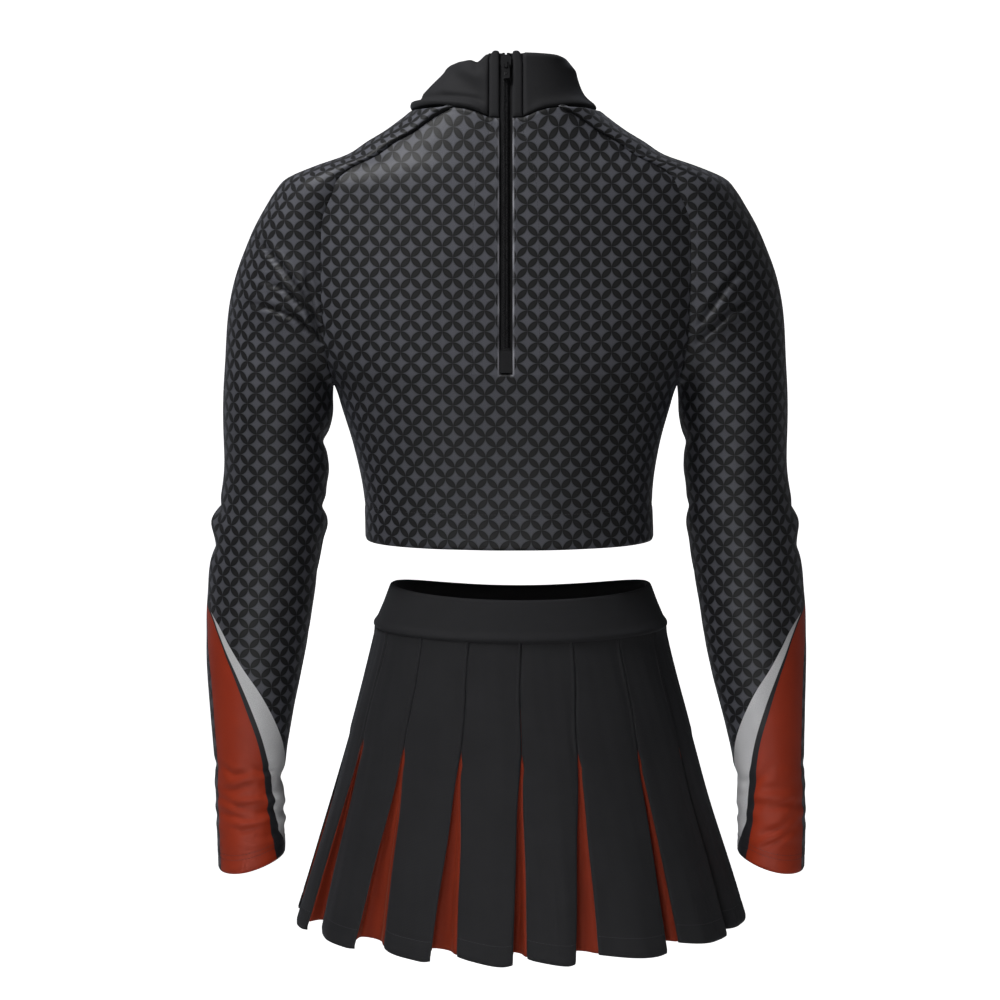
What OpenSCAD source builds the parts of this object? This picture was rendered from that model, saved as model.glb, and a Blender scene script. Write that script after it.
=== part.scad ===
// A two-piece cheer uniform: a long-sleeved raglan top that zips up the back, and a pleated skirt.
// X points to the wearer's right, Y to the wearer's front and Z up.
// The origin is the middle of the collar seam, where the top sits on the neck.

/* [Top] */
// Height from the collar seam down to the top's hem
top_len = 371; // [340:1:430]
// Width of the body at the top's hem
hem_w = 251; // [220:1:280]
// Depth of the body at the top's hem
hem_d = 176; // [150:1:200]
// Height from the collar seam down to the armpit
armpit_drop = 238; // [225:1:262]
// Width of the body under the arms
chest_w = 297; // [275:1:315]
// Depth from the middle of the neck forward to the bust
bust_d = 113; // [95:1:135]
// Width across the shoulders at the shoulder points
shoulder_w = 378; // [350:1:410]

/* [Collar] */
// Width of the collar at its seam
neck_w = 160; // [145:1:176]
// Depth from the middle of the neck back to the zip
neck_back = 66; // [60:1:72]
// Depth from the middle of the neck forward to the collar seam
neck_front = 60; // [54:1:68]
// Height of the collar at the back
collar_h = 47; // [35:1:60]

/* [Sleeves] */
// Length of the moving sleeve, from the armhole ring to the cuff
sleeve_len = 430; // [360:1:500]
// Width of the sleeve at the upper arm
upper_arm_w = 92; // [84:1:104]
// Width of the sleeve at the cuff
cuff_w = 60; // [50:1:72]

/* [Zip] */
// Height from the collar seam down to the end of the zip's window
zip_drop = 221; // [150:1:222]
// Width of the zip's window between the two cloth edges
zip_window = 11.2; // [10.6:0.1:16]
// Lean of the centre back, top forward
zip_tilt = 9.1; // [6:0.1:12]
// Length of the pull tab below its hinge
tab_len = 12; // [8:0.5:30]

/* [Skirt] */
// Height from the top's hem down to the skirt's waist
waist_gap = 40; // [5:1:60]
// Width of the skirt at the top of the waistband
waist_w = 228; // [200:1:260]
// Height of the waistband
band_h = 35; // [25:1:45]
// Length of the skirt from its waist to its hem
skirt_len = 300; // [260:1:400]
// Width of the skirt at its hem
skirt_hem_w = 394; // [340:1:420]
// How far the skirt sits to the wearer's right of the top's middle
skirt_side = 13; // [0:1:15]
// Distance from the waist down to where the panels part
release = 130; // [80:1:180]
// Gap between two panels at the hem
pleat_gap = 24; // [10:1:36]

/* [Cloth] */
// Thickness of the cloth
cloth_t = 1.4; // [1:0.1:1.5]

/* [Hidden] */
PANELS = 16;
function two(k) = str(k < 10 ? "0" : "", k);

PRINT = "#3a3b3e";
BLACK = "#1c1c1f";
ORANGE = "#a53c20";
STEEL = "#2a2a2c";
$fn = 32;

seam_gap = 1.2;         // clear space along a seam between two cloth pieces
squareness = 2.4;       // power of the rounded body section: 2 is an ellipse
hem_z = -top_len;
pit_z = -armpit_drop;
slope_z = -60;          // above this height the neckline's dip fades in
back_dip = 4;           // the collar seam sits lower at the centre back
front_dip = 18;         // and lower still at the centre front

// The shoulder hinge, and the radius at which the moving sleeve begins.
hinge_x = chest_w / 2 + 36.5;
hinge_z = pit_z + 68;
ring_r = norm([hinge_x - chest_w / 2 - 2, hinge_z - pit_z]);
swing_gap = 0.8;        // clear space between the sleeve head and the moving sleeve

// ---- Smooth curve through a short table of [place, value] stations ----
function station(t, x, i = 0) = i >= len(t) - 2 || x < t[i + 1][0] ? i : station(t, x, i + 1);
function rise(t, i) =
    let (a = max(i - 1, 0), b = min(i + 1, len(t) - 1))
    (t[b][1] - t[a][1]) / (t[b][0] - t[a][0]);
function smooth(t, x) =
    let (c = min(max(x, t[0][0]), t[len(t) - 1][0]))
    let (i = station(t, c), h = t[i + 1][0] - t[i][0], s = (c - t[i][0]) / h)
    t[i][1] * (1 + 2 * s) * (1 - s) ^ 2 + t[i + 1][1] * s ^ 2 * (3 - 2 * s)
    + h * rise(t, i) * s * (1 - s) ^ 2 - h * rise(t, i + 1) * s ^ 2 * (1 - s);

// ---- A sheet of cloth from a grid of points ----
// Rows run upward and columns run anticlockwise seen from above, so the normals point out.
function normal(g, i, j, wrap) =
    let (m = len(g), n = len(g[0]))
    let (j0 = wrap ? (j + n - 1) % n : max(j - 1, 0), j1 = wrap ? (j + 1) % n : min(j + 1, n - 1))
    let (v = cross(g[i][j1] - g[i][j0], g[min(i + 1, m - 1)][j] - g[max(i - 1, 0)][j]))
    v / norm(v);
// The sheet lies between the depths near and far, measured inward from the grid.
module sheet(g, near, far, wrap = false, open = function(i, j) false) {
    m = len(g);
    n = len(g[0]);
    cols = wrap ? n : n - 1;
    count = m * n;
    normals = [for (i = [0:m - 1]) [for (j = [0:n - 1]) normal(g, i, j, wrap)]];
    outer = [for (i = [0:m - 1]) for (j = [0:n - 1]) g[i][j] - near * normals[i][j]];
    inner = [for (i = [0:m - 1]) for (j = [0:n - 1]) g[i][j] - far * normals[i][j]];
    at = function(i, j) i * n + (j % n);
    solid = function(i, j) i >= 0 && i < m - 1 && (wrap || (j >= 0 && j < cols)) && !open(i, j);
    skin = [for (i = [0:m - 2]) for (j = [0:cols - 1]) if (solid(i, j))
        each let (a = at(i, j), b = at(i, j + 1), c = at(i + 1, j + 1), d = at(i + 1, j))
        [[a, c, b], [a, d, c], [a + count, b + count, c + count], [a + count, c + count, d + count]]];
    edges = [for (i = [0:m - 2]) for (j = [0:cols - 1]) if (solid(i, j))
        each [
            if (!solid(i - 1, j)) [at(i, j), at(i, j + 1)],
            if (!solid(i + 1, j)) [at(i + 1, j + 1), at(i + 1, j)],
            if (!solid(i, j - 1)) [at(i + 1, j), at(i, j)],
            if (!solid(i, j + 1)) [at(i, j + 1), at(i + 1, j + 1)]
        ]];
    rim = [for (e = edges) each
        [[e[0], e[1], e[1] + count], [e[0], e[1] + count, e[0] + count]]];
    polyhedron(concat(outer, inner), concat(skin, rim), convexity = 10);
}

// ---- The body of the top ----
// Half width of the body at a height, above and below the armpit.
waist_run = top_len - armpit_drop;
function between(a, b, share) = a + (b - a) * share;
reach = shoulder_w / 2 - 1;
body_widths = [
    [hem_z, hem_w / 2],
    [hem_z + 0.31 * waist_run, between(hem_w, chest_w, 0.02) / 2],
    [hem_z + 0.61 * waist_run, between(hem_w, chest_w, 0.33) / 2],
    [hem_z + 0.87 * waist_run, between(hem_w, chest_w, 0.76) / 2],
    [pit_z, chest_w / 2],
    [pit_z * 0.95, between(chest_w / 2, reach, 0.19)],
    [pit_z * 0.89, between(chest_w / 2, reach, 0.44)],
    [pit_z * 0.81, between(chest_w / 2, reach, 0.70)],
    [pit_z * 0.67, between(chest_w / 2, reach, 0.92)],
    [pit_z * 0.50, reach],
    [pit_z * 0.28, reach],
    [pit_z * 0.244, between(neck_w / 2, reach, 0.944)],
    [pit_z * 0.20, between(neck_w / 2, reach, 0.76)],
    [pit_z * 0.16, between(neck_w / 2, reach, 0.528)],
    [pit_z * 0.113, between(neck_w / 2, reach, 0.366)],
    [pit_z * 0.071, between(neck_w / 2, reach, 0.213)],
    [0, neck_w / 2]
];
// The centre back is straight down to the end of the zip, then curves in to the hem.
function zip_line(z) = neck_back - z * tan(zip_tilt);
back_depths = [
    [hem_z, hem_d / 2],
    [between(hem_z, -zip_drop, 0.27), between(hem_d / 2, zip_line(-zip_drop), 0.24)],
    [between(hem_z, -zip_drop, 0.54), between(hem_d / 2, zip_line(-zip_drop), 0.57)],
    [between(hem_z, -zip_drop, 0.80), between(hem_d / 2, zip_line(-zip_drop), 0.87)],
    [-zip_drop, zip_line(-zip_drop)]
];
front_depths = [
    [hem_z, hem_d / 2],
    [hem_z + 0.31 * waist_run, between(hem_d / 2, bust_d, 0.08)],
    [hem_z + 0.61 * waist_run, between(hem_d / 2, bust_d, 0.28)],
    [hem_z + 0.87 * waist_run, between(hem_d / 2, bust_d, 0.60)],
    [pit_z * 0.92, between(hem_d / 2, bust_d, 0.88)],
    [pit_z * 0.78, bust_d],
    [pit_z * 0.63, between(neck_front, bust_d, 0.94)],
    [pit_z * 0.42, between(neck_front, bust_d, 0.72)],
    [pit_z * 0.25, between(neck_front, bust_d, 0.45)],
    [pit_z * 0.12, between(neck_front, bust_d, 0.24)],
    [0, neck_front]
];
function body_w(z) = smooth(body_widths, z);
function back_d(z) = z > -zip_drop ? zip_line(z) : smooth(back_depths, z);
function front_d(z) = smooth(front_depths, z);
function fade(z) = z > slope_z ? (1 - z / slope_z) ^ 2 : 0;
function dip(y, z) = -fade(z) * (y < 0 ? back_dip * (y / neck_back) ^ 2 : front_dip * (y / neck_front) ^ 2);
function power(v, p) = sign(v) * abs(v) ^ p;
// A point of the body: side is 0 at the centre back and 90 at the wearer's right.
function body_point(z, side) =
    let (w = body_w(z), d = cos(side) > 0 ? back_d(z - back_dip * fade(z)) : front_d(z))
    let (x = w * power(sin(side), 2 / squareness), y = -d * power(cos(side), 2 / squareness))
    [x, y, z + dip(y, z)];

// The raglan seam, as a share of the body's half width at each share of the armpit's drop.
seam_shares = [
    [0, 0.55], [0.05, 0.69], [0.11, 0.78], [0.19, 0.79], [0.28, 0.775],
    [0.387, 0.823], [0.67, 0.846], [0.81, 0.88], [0.89, 0.92], [0.95, 0.96], [1, 1]
];
SEAM_ROWS = 14;
function seam_z(u) = pit_z * (1 + cos(180 * u)) / 2;
function seam_share(z) = smooth(seam_shares, z / pit_z);
function side_at(share) = asin(min(share, 1) ^ (squareness / 2));

BODY_ROWS = 7;
body_rows = concat(
    [for (i = [0:BODY_ROWS - 1]) between(hem_z, pit_z, i / BODY_ROWS)],
    [for (i = [0:SEAM_ROWS]) seam_z(i / SEAM_ROWS)]
);
// The widest side angle of a panel at a height: the side seam, or the raglan seam above the armpit.
function panel_side(z) =
    let (gap = seam_gap / 2 / body_w(z))
    z <= pit_z + 1 ? 89.4 : side_at(seam_share(z) - gap);

PANEL_COLS = 11;
slot_side = function(z) side_at(zip_window / 2 / body_w(z));
function back_columns(z) =
    let (a = slot_side(z), b = panel_side(z), half = [for (k = [0:PANEL_COLS]) between(a, b, k / PANEL_COLS)])
    concat([for (k = [PANEL_COLS:-1:0]) -half[k]], half);
// The slot's lower end lies on a row of its own.
back_rows = concat(
    [for (z = body_rows) if (z < -zip_drop - 4) z],
    [-zip_drop],
    [for (z = body_rows) if (z > -zip_drop + 4) z]
);
slot_row = len([for (z = body_rows) if (z < -zip_drop - 4) z]);

module back_panel() {
    grid = [for (z = back_rows) [for (s = back_columns(z)) body_point(z, s)]];
    color(PRINT)
        sheet(grid, 0, cloth_t, open = function(i, j) j == PANEL_COLS && i >= slot_row);
}

FRONT_COLS = 20;
module front_panel() {
    grid = [for (z = body_rows)
        [for (k = [0:FRONT_COLS]) body_point(z, 180 - panel_side(z) * (1 - 2 * k / FRONT_COLS))]];
    color(PRINT)
        sheet(grid, 0, cloth_t);
}

// ---- Sleeves (drawn on the wearer's right, and mirrored for the left) ----
// Distances are from the shoulder hinge, and the lean is outward from straight down.
cuff_r = ring_r + sleeve_len;
function down(share) = ring_r + sleeve_len * share;
sleeve_leans = [[down(0), 11.5], [down(0.17), 6.7], [down(0.4), 7.0], [down(0.77), 6.4], [down(1), 5.2]];
sleeve_widths = [
    [down(0), upper_arm_w * 0.562], [down(0.17), upper_arm_w * 0.49], [down(0.27), upper_arm_w * 0.52],
    [down(0.47), upper_arm_w * 0.495], [down(0.57), between(cuff_w, upper_arm_w, 0.74) / 2],
    [down(0.67), between(cuff_w, upper_arm_w, 0.38) / 2], [down(0.77), cuff_w * 0.525], [down(1), cuff_w / 2]
];
sleeve_depths = [
    [down(0), upper_arm_w * 0.62], [down(0.17), upper_arm_w * 0.545], [down(0.4), upper_arm_w * 0.5],
    [down(0.57), upper_arm_w * 0.435], [down(0.77), cuff_w * 0.56], [down(1), cuff_w * 0.54]
];
// A point of the sleeve: around is 0 on the outside and 180 against the body.
function sleeve_point(r, around) =
    let (a = smooth(sleeve_leans, r) + smooth(sleeve_widths, r) / r * 180 / PI * cos(around))
    [hinge_x + r * sin(a), smooth(sleeve_depths, r) * sin(around), hinge_z - r * cos(a)];

// The cuff is cut square to the forearm, so it ends higher on the inside.
function cuff_rise(around) = 3 + 19 * ((1 - cos(around)) / 2) ^ 1.5;

SLEEVE_COLS = 28;
SLEEVE_ROWS = 15;
module right_sleeve() {
    start_r = ring_r + swing_gap;
    grid = [for (i = [0:SLEEVE_ROWS]) [for (k = [0:SLEEVE_COLS - 1])
        let (around = 360 * k / SLEEVE_COLS, low = cuff_r - cuff_rise(around))
        sleeve_point(between(low, start_r, i / SLEEVE_ROWS), around)]];
    color(PRINT)
        sheet(grid, 0, cloth_t, wrap = true);
}

// The outline of the shoulder and upper arm, seen from behind.
arm_outline = [
    [hinge_z - 54, hinge_x + 59.4], [hinge_z - 12, hinge_x + 57.6], [hinge_z + 8, hinge_x + 54.7],
    [hinge_z + 29, hinge_x + 49.7], [hinge_z + 50, hinge_x + 42], [hinge_z + 70.5, hinge_x + 33],
    [hinge_z + 91, hinge_x + 21], [hinge_z + 101.5, hinge_x + 14], [pit_z * 0.244, reach + 1],
    [pit_z * 0.20, between(neck_w / 2, reach, 0.782)], [pit_z * 0.16, between(neck_w / 2, reach, 0.528)],
    [pit_z * 0.113, between(neck_w / 2, reach, 0.366)], [pit_z * 0.071, between(neck_w / 2, reach, 0.213)],
    [0, neck_w / 2]
];
saddle_u = 0.68;        // above this share of the seam the head's rows are level
ring_turn = 176;        // the head's lowest row stops short of the armpit on both sides
function head_outer_z(u) = seam_z(u) + (hinge_z - pit_z - 49.5) * max(0, 1 - u / saddle_u) ^ 2;
// A point of the sleeve head: u runs up the raglan seam and t from the back seam to the front one.
function head_point(u, t) =
    let (z = seam_z(u), side = side_at(min(1, seam_share(z) + seam_gap / 2 / body_w(z))))
    let (back = body_point(z, side), front = body_point(z, 180 - side))
    let (half = (front[1] - back[1]) / 2, middle = (front[1] + back[1]) / 2)
    let (first_depth = smooth(sleeve_depths, ring_r), most = max(half * 1.03, first_depth + 5 * sin(180 * u)))
    let (turn = min(ring_turn, 180 - asin(half / most)))
    let (s = (cos(turn * t) - cos(turn)) / (1 - cos(turn)))
    let (x = between(back[0], smooth(arm_outline, head_outer_z(u)), s), y = middle + most * sin(turn * t))
    [x, y, between(z, head_outer_z(u), s) + dip(y, z)];
// The lowest row lies on the hinge's own cylinder, and the rows above ease away from it.
function eased_head_point(u, t) =
    let (pull = (1 - u) ^ 6, r = ring_r - swing_gap)
    head_point(u, t) + pull * (sleeve_point(r, ring_turn * t) - head_point(0, t));

HEAD_COLS = 20;
module right_sleeve_head() {
    grid = [for (i = [0:SEAM_ROWS]) [for (k = [0:HEAD_COLS])
        eased_head_point(i / SEAM_ROWS, 2 * k / HEAD_COLS - 1)]];
    color(PRINT)
        sheet(grid, 0, cloth_t);
}

// ---- Collar ----
collar_back_z = collar_h;
collar_widths = [[0, neck_w / 2 - 1], [0.08, neck_w * 0.475], [0.25, neck_w * 0.428], [0.5, neck_w * 0.397],
    [0.8, neck_w * 0.378], [1, neck_w * 0.375]];
collar_fronts = [[0, neck_front], [0.3, neck_front * 0.9], [1, neck_front * 0.83]];
collar_lift = 0.7;      // clear space above the neckline
collar_lean = 0.12;     // the collar's top edge drops toward the front
function collar_point(h, side) =
    let (back_z = between(collar_lift - back_dip, collar_back_z, h), w = smooth(collar_widths, h))
    let (d = cos(side) > 0 ? zip_line(back_z) : smooth(collar_fronts, h))
    let (x = w * power(sin(side), 2 / squareness), y = -d * power(cos(side), 2 / squareness))
    let (top = collar_back_z - collar_lean * (y + zip_line(collar_back_z)))
    [x, y, between(collar_lift + dip(y, 0), top, h)];

facing_w = 8.4;         // width of the folded strip beside the zip
COLLAR_ROWS = 6;
COLLAR_COLS = 36;
function collar_side(h, x) = side_at(x / smooth(collar_widths, h));
function collar_grid(x) = [for (i = [0:COLLAR_ROWS]) let (h = i / COLLAR_ROWS, a = collar_side(h, x))
    [for (k = [0:COLLAR_COLS]) collar_point(h, between(a, 360 - a, k / COLLAR_COLS))]];
module collar_outer() {
    color(BLACK)
        sheet(collar_grid(zip_window / 2 + facing_w + seam_gap), 0, cloth_t);
}
lining_depth = 3.6;     // the lining clears the zip tapes
lining_edge = 16.5;     // distance from the zip's middle to the lining's edge
module collar_lining() {
    color(BLACK)
        sheet(collar_grid(lining_edge), lining_depth, lining_depth + cloth_t);
}
module right_collar_facing() {
    grid = [for (i = [0:COLLAR_ROWS]) let (h = i / COLLAR_ROWS)
        [for (k = [0:3]) collar_point(h, collar_side(h, zip_window / 2 + facing_w * k / 3))]];
    color(BLACK)
        sheet(grid, -0.6, cloth_t);
}

// ---- Zip ----
// The zip's own frame: Z runs up the zip, -Y out of the back, and its origin is level with the neck.
module on_zip() {
    translate([0, -neck_back, 0])
        rotate([-zip_tilt, 0, 0])
            children();
}
// A block between two places across, out and up.
module block(x, out, up) {
    translate([x[0], -out[1], up[0]])
        cube([x[1] - x[0], out[1] - out[0], up[1] - up[0]]);
}
along = 1 / cos(zip_tilt);
tape_out = [-3.3, -2.6];
coil_out = [-2.55, -0.15];
coil_x = [0.75, 2.9];
zip_top = collar_back_z * along - 0.4;
stay_h = 20;
coil_end = -zip_drop * along + stay_h + 1;
stop_h = 1.4;
tooth = 1.0;            // a coil tooth, and the space after it, measured up the zip
tape_edge = 14.5;
slack = 0.35;           // clear space around the slider

module right_zip_tape() {
    color(BLACK)
        on_zip()
            block([0.75, tape_edge], tape_out, [coil_end - stay_h + 3, zip_top]);
}

module right_zip_coil() {
    low = coil_end + stop_h + 0.2;
    high = zip_top - stop_h - 0.2;
    teeth = floor((high - low) / (2 * tooth));
    outline = concat(
        [[coil_x[1], low], [coil_x[1], low + teeth * 2 * tooth]],
        [for (k = [teeth - 1:-1:0]) let (z = low + k * 2 * tooth)
            each [[coil_x[0] + 1, z + 2 * tooth], [coil_x[0] + 1, z + tooth], [coil_x[0], z + tooth], [coil_x[0], z]]]
    );
    color(BLACK)
        on_zip()
            translate([0, -coil_out[0], 0])
                rotate([90, 0, 0])
                    linear_extrude(coil_out[1] - coil_out[0])
                        polygon(outline);
}

module right_top_stop() {
    color(STEEL)
        on_zip()
            block([coil_x[0], coil_x[1] + 0.2], coil_out, [zip_top - stop_h, zip_top]);
}

module zip_bottom_stop() {
    color(STEEL)
        on_zip()
            block([-coil_x[1], coil_x[1]], coil_out, [coil_end, coil_end + stop_h]);
}

module zip_stay_patch() {
    color(BLACK)
        on_zip()
            block([0.4 - zip_window / 2, zip_window / 2 - 0.4], [-1.4, -0.1], [coil_end - stay_h + 0.6, coil_end - 0.4]);
}

slider_w = 8.7;
slider_h = 12;
slider_top = zip_top - stop_h - 0.4;
plate_out = [coil_out[1] + slack, coil_out[1] + slack + 1.1];
under_out = [tape_out[0] - slack - 1.1, tape_out[0] - slack];
post_x = 0.35;
bar_r = 0.6;
bar_out = plate_out[1] + 1.1;
hinge_up = slider_top - 8.2;
crown_w = 2.2;
crown_t = 0.8;
crown_in = 2.2;         // half height of the window that the tab's bar turns in
module slider_plate(out) {
    translate([0, -out[0], slider_top - slider_h])
        rotate([90, 0, 0])
            linear_extrude(out[1] - out[0])
                polygon([[-slider_w / 2 + 1, 0], [slider_w / 2 - 1, 0], [slider_w / 2, 4],
                    [slider_w / 2, slider_h - 2], [slider_w / 2 - 2, slider_h], [2 - slider_w / 2, slider_h],
                    [-slider_w / 2, slider_h - 2], [-slider_w / 2, 4]]);
}
module zip_slider() {
    color(STEEL)
        on_zip() {
            slider_plate(plate_out);
            slider_plate(under_out);
            block([-post_x, post_x], [under_out[1] - 0.1, plate_out[0] + 0.1], [slider_top - 3.2, slider_top - 0.6]);
            for (side = [-1, 1])
                translate([side * (slider_w / 2 - 0.5), 0, 0])
                    block([-0.5, 0.5], [-2.2, plate_out[0] + 0.1], [slider_top - 8, slider_top - 2.2]);
            for (up = [hinge_up - crown_in - crown_t, hinge_up + crown_in])
                block([-crown_w / 2, crown_w / 2], [plate_out[1] - 0.1, bar_out + bar_r + slack + crown_t],
                    [up, up + crown_t]);
            block([-crown_w / 2, crown_w / 2], [bar_out + bar_r + slack, bar_out + bar_r + slack + crown_t],
                [hinge_up - crown_in - crown_t, hinge_up + crown_in + crown_t]);
        }
}

tab_w = 6.4;
tab_out = [bar_out - 0.5, bar_out + 0.5];
tab_hole_r = 1.1;
tab_hole_up = hinge_up - tab_len + 4.2;
arm_x = [crown_w / 2 + slack, crown_w / 2 + slack + 1.2];
module zip_pull_tab() {
    plate_up = hinge_up - crown_in - crown_t - slack - 0.3;
    color(STEEL)
        on_zip() {
            translate([-arm_x[1], -bar_out, hinge_up])
                rotate([0, 90, 0])
                    cylinder(r = bar_r, h = 2 * arm_x[1]);
            for (side = [-1, 1])
                translate([side * (arm_x[0] + arm_x[1]) / 2, 0, 0])
                    block([-0.6, 0.6], tab_out, [plate_up - 0.2, hinge_up + 0.6]);
            difference() {
                block([-tab_w / 2, tab_w / 2], tab_out, [hinge_up - tab_len, plate_up]);
                translate([0, -tab_out[0] + 1, tab_hole_up])
                    rotate([90, 0, 0])
                        cylinder(r = tab_hole_r, h = 4);
            }
        }
}

// ---- Skirt ----
waist_z = hem_z - waist_gap;
band_z = waist_z - band_h;
skirt_hem_z = waist_z - skirt_len;
release_z = waist_z - release;
waist_flat = 0.755;     // depth over width at the waist
hem_flat = 0.81;        // and at the hem
function skirt_down(z) = (waist_z - z) / skirt_len;
skirt_widths = [
    [0, waist_w / 2], [0.05, waist_w * 0.522], [0.115, waist_w * 0.557],
    [0.155, waist_w * 0.563], [0.26, between(waist_w, skirt_hem_w, 0.266) / 2],
    [0.43, between(waist_w, skirt_hem_w, 0.43) / 2], [0.62, between(waist_w, skirt_hem_w, 0.61) / 2],
    [0.81, between(waist_w, skirt_hem_w, 0.81) / 2], [1, skirt_hem_w / 2]
];
function skirt_w(z) = smooth(skirt_widths, skirt_down(z));
function skirt_d(z) = skirt_w(z) * between(waist_flat, hem_flat, skirt_down(z));
waist_dip = 27;         // the waist sits lower at the front
function waist_drop(y, z) = y < 0 ? 0 : -waist_dip * (y / (waist_w / 2)) ^ 2 * max(0, 1 - skirt_down(z) / 0.5);
// Even steps around the flattened ring: a seam's turn from the centre back.
function even_turn(turn) = turn - 3.2 * sin(2 * turn);
// A point of the skirt, puffed out from its ring.
function skirt_point(z, turn, puff = 0) =
    let (x = (skirt_w(z) + puff) * sin(turn), y = -(skirt_d(z) + puff) * cos(turn))
    [x + skirt_side, y, z + waist_drop(y, z)];

BAND_COLS = 48;
module band(low, high, near, far) {
    grid = [for (i = [0:3]) [for (k = [0:BAND_COLS - 1])
        skirt_point(between(low, high, i / 3), 360 * k / BAND_COLS)]];
    sheet(grid, near, far, wrap = true);
}
module waistband_outer() {
    color(BLACK)
        band(band_z + 0.4, waist_z, 0, cloth_t);
}
module waistband_elastic() {
    color("#d8d8d4")
        band(band_z + 3, waist_z - 3, 2, 3.2);
}
module waistband_lining() {
    color(BLACK)
        band(band_z + 0.4, waist_z, 3.8, 3.8 + cloth_t);
}

step = 360 / PANELS;
PANEL_ROWS = 9;
PANEL_STEPS = 5;
panel_puff = 5;         // how far a panel's middle stands out at the hem
seam_turn = seam_gap / 2 / (waist_w / 2) * 180 / PI;
function opened(z) = max(0, (release_z - z) / (release_z - skirt_hem_z));
// Half of the gap between two panels at a height, as a turn.
function gap_turn(z) = seam_turn + opened(z) * pleat_gap / 2 / skirt_w(z) * 180 / PI;
skirt_rows = [for (i = [0:PANEL_ROWS]) between(skirt_hem_z, band_z - 0.4, i / PANEL_ROWS)];
module skirt_panel(k) {
    a = even_turn(step * (k - 1));
    b = even_turn(step * k);
    grid = [for (z = skirt_rows) let (g = gap_turn(z)) [for (j = [0:PANEL_STEPS])
        let (s = j / PANEL_STEPS, puff = panel_puff * 4 * s * (1 - s) * opened(z))
        skirt_point(z, between(a + g, b - g, s), puff)]];
    color(BLACK)
        sheet(grid, 0, cloth_t);
}

// An insert lies behind the gap between two panels and folds inward along its middle.
INSERT_ROWS = 4;
insert_lap = 8;         // how far the insert reaches behind each panel at the hem
insert_fold = 9;        // how deep its middle folds in at the hem
insert_clear = 0.8;     // clear space between an insert and the panels over it
insert_top_z = release_z + 4;
insert_low_z = skirt_hem_z + 6;
module pleat_insert(k) {
    middle = even_turn(step * (k - 1));
    grid = [for (i = [0:INSERT_ROWS]) let (z = between(insert_low_z, insert_top_z, i / INSERT_ROWS))
        [for (j = [-3:3]) let (open = opened(z), half = pleat_gap / 2 * open + 2 + insert_lap * open)
            let (turn = middle + half / skirt_w(z) * 180 / PI * j / 3)
            skirt_point(z, turn, -cloth_t - insert_clear - 1 - insert_fold * open * (1 - abs(j) / 3))]];
    color(ORANGE)
        sheet(grid, 0, cloth_t);
}

module mirrored() {
    mirror([1, 0, 0])
        children();
}

back_panel();
front_panel();
mirrored() right_sleeve_head();  // left_sleeve_head
right_sleeve_head();
mirrored() right_sleeve();  // left_sleeve
right_sleeve();
collar_outer();
collar_lining();
mirrored() right_collar_facing();  // left_collar_facing
right_collar_facing();
mirrored() right_zip_tape();  // left_zip_tape
right_zip_tape();
mirrored() right_zip_coil();  // left_zip_coil
right_zip_coil();
mirrored() right_top_stop();  // left_top_stop
right_top_stop();
zip_bottom_stop();
zip_stay_patch();
zip_slider();
zip_pull_tab();
waistband_outer();
waistband_elastic();
waistband_lining();
for (k = [1:PANELS]) {
    skirt_panel(k);
    pleat_insert(k);
}
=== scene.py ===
# %% [markdown]
# # A cheer uniform, worn by nobody
# The uniform is a zip-back raglan top and a pleated skirt, held in the shape of a wearer.
# Every cloth piece is a sheet that follows the same body curves as the CAD frame, cut into fine rows
# and columns so that folds, rolled edges and seams can be pressed into it.

# %% Load the frame
import math
import bpy
import bmesh
import numpy as np
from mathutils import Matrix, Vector


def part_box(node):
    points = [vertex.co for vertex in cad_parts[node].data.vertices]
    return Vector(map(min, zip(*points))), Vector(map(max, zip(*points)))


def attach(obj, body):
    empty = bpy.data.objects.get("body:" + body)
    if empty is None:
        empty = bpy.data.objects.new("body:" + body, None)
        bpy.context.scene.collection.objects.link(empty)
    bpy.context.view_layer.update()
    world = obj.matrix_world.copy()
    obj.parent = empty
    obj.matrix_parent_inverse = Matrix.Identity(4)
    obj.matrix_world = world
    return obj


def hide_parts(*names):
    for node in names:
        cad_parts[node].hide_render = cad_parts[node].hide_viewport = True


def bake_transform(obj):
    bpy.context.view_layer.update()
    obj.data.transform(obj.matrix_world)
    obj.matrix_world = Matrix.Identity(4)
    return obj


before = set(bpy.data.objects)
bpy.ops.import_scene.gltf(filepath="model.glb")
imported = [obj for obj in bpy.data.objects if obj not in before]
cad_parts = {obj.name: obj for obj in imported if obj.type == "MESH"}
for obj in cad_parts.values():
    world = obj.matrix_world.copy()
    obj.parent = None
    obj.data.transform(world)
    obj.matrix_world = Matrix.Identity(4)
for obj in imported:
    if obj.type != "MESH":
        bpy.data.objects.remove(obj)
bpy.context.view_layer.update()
MM = 0.001

# %% [markdown]
# ## The body's curves
# A garment's shape is a few measurements joined by smooth curves. Here each curve is a short table of
# stations, in millimetres, and `smooth` runs an even curve through them. The stations hang on sizes
# read from the frame, so the looks stay on the CAD solids.

# %% Sizes read from the frame
def reach_of(node, axis, high):
    """One side of a node's box, in millimetres."""
    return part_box(node)[1 if high else 0][axis] / MM


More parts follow.
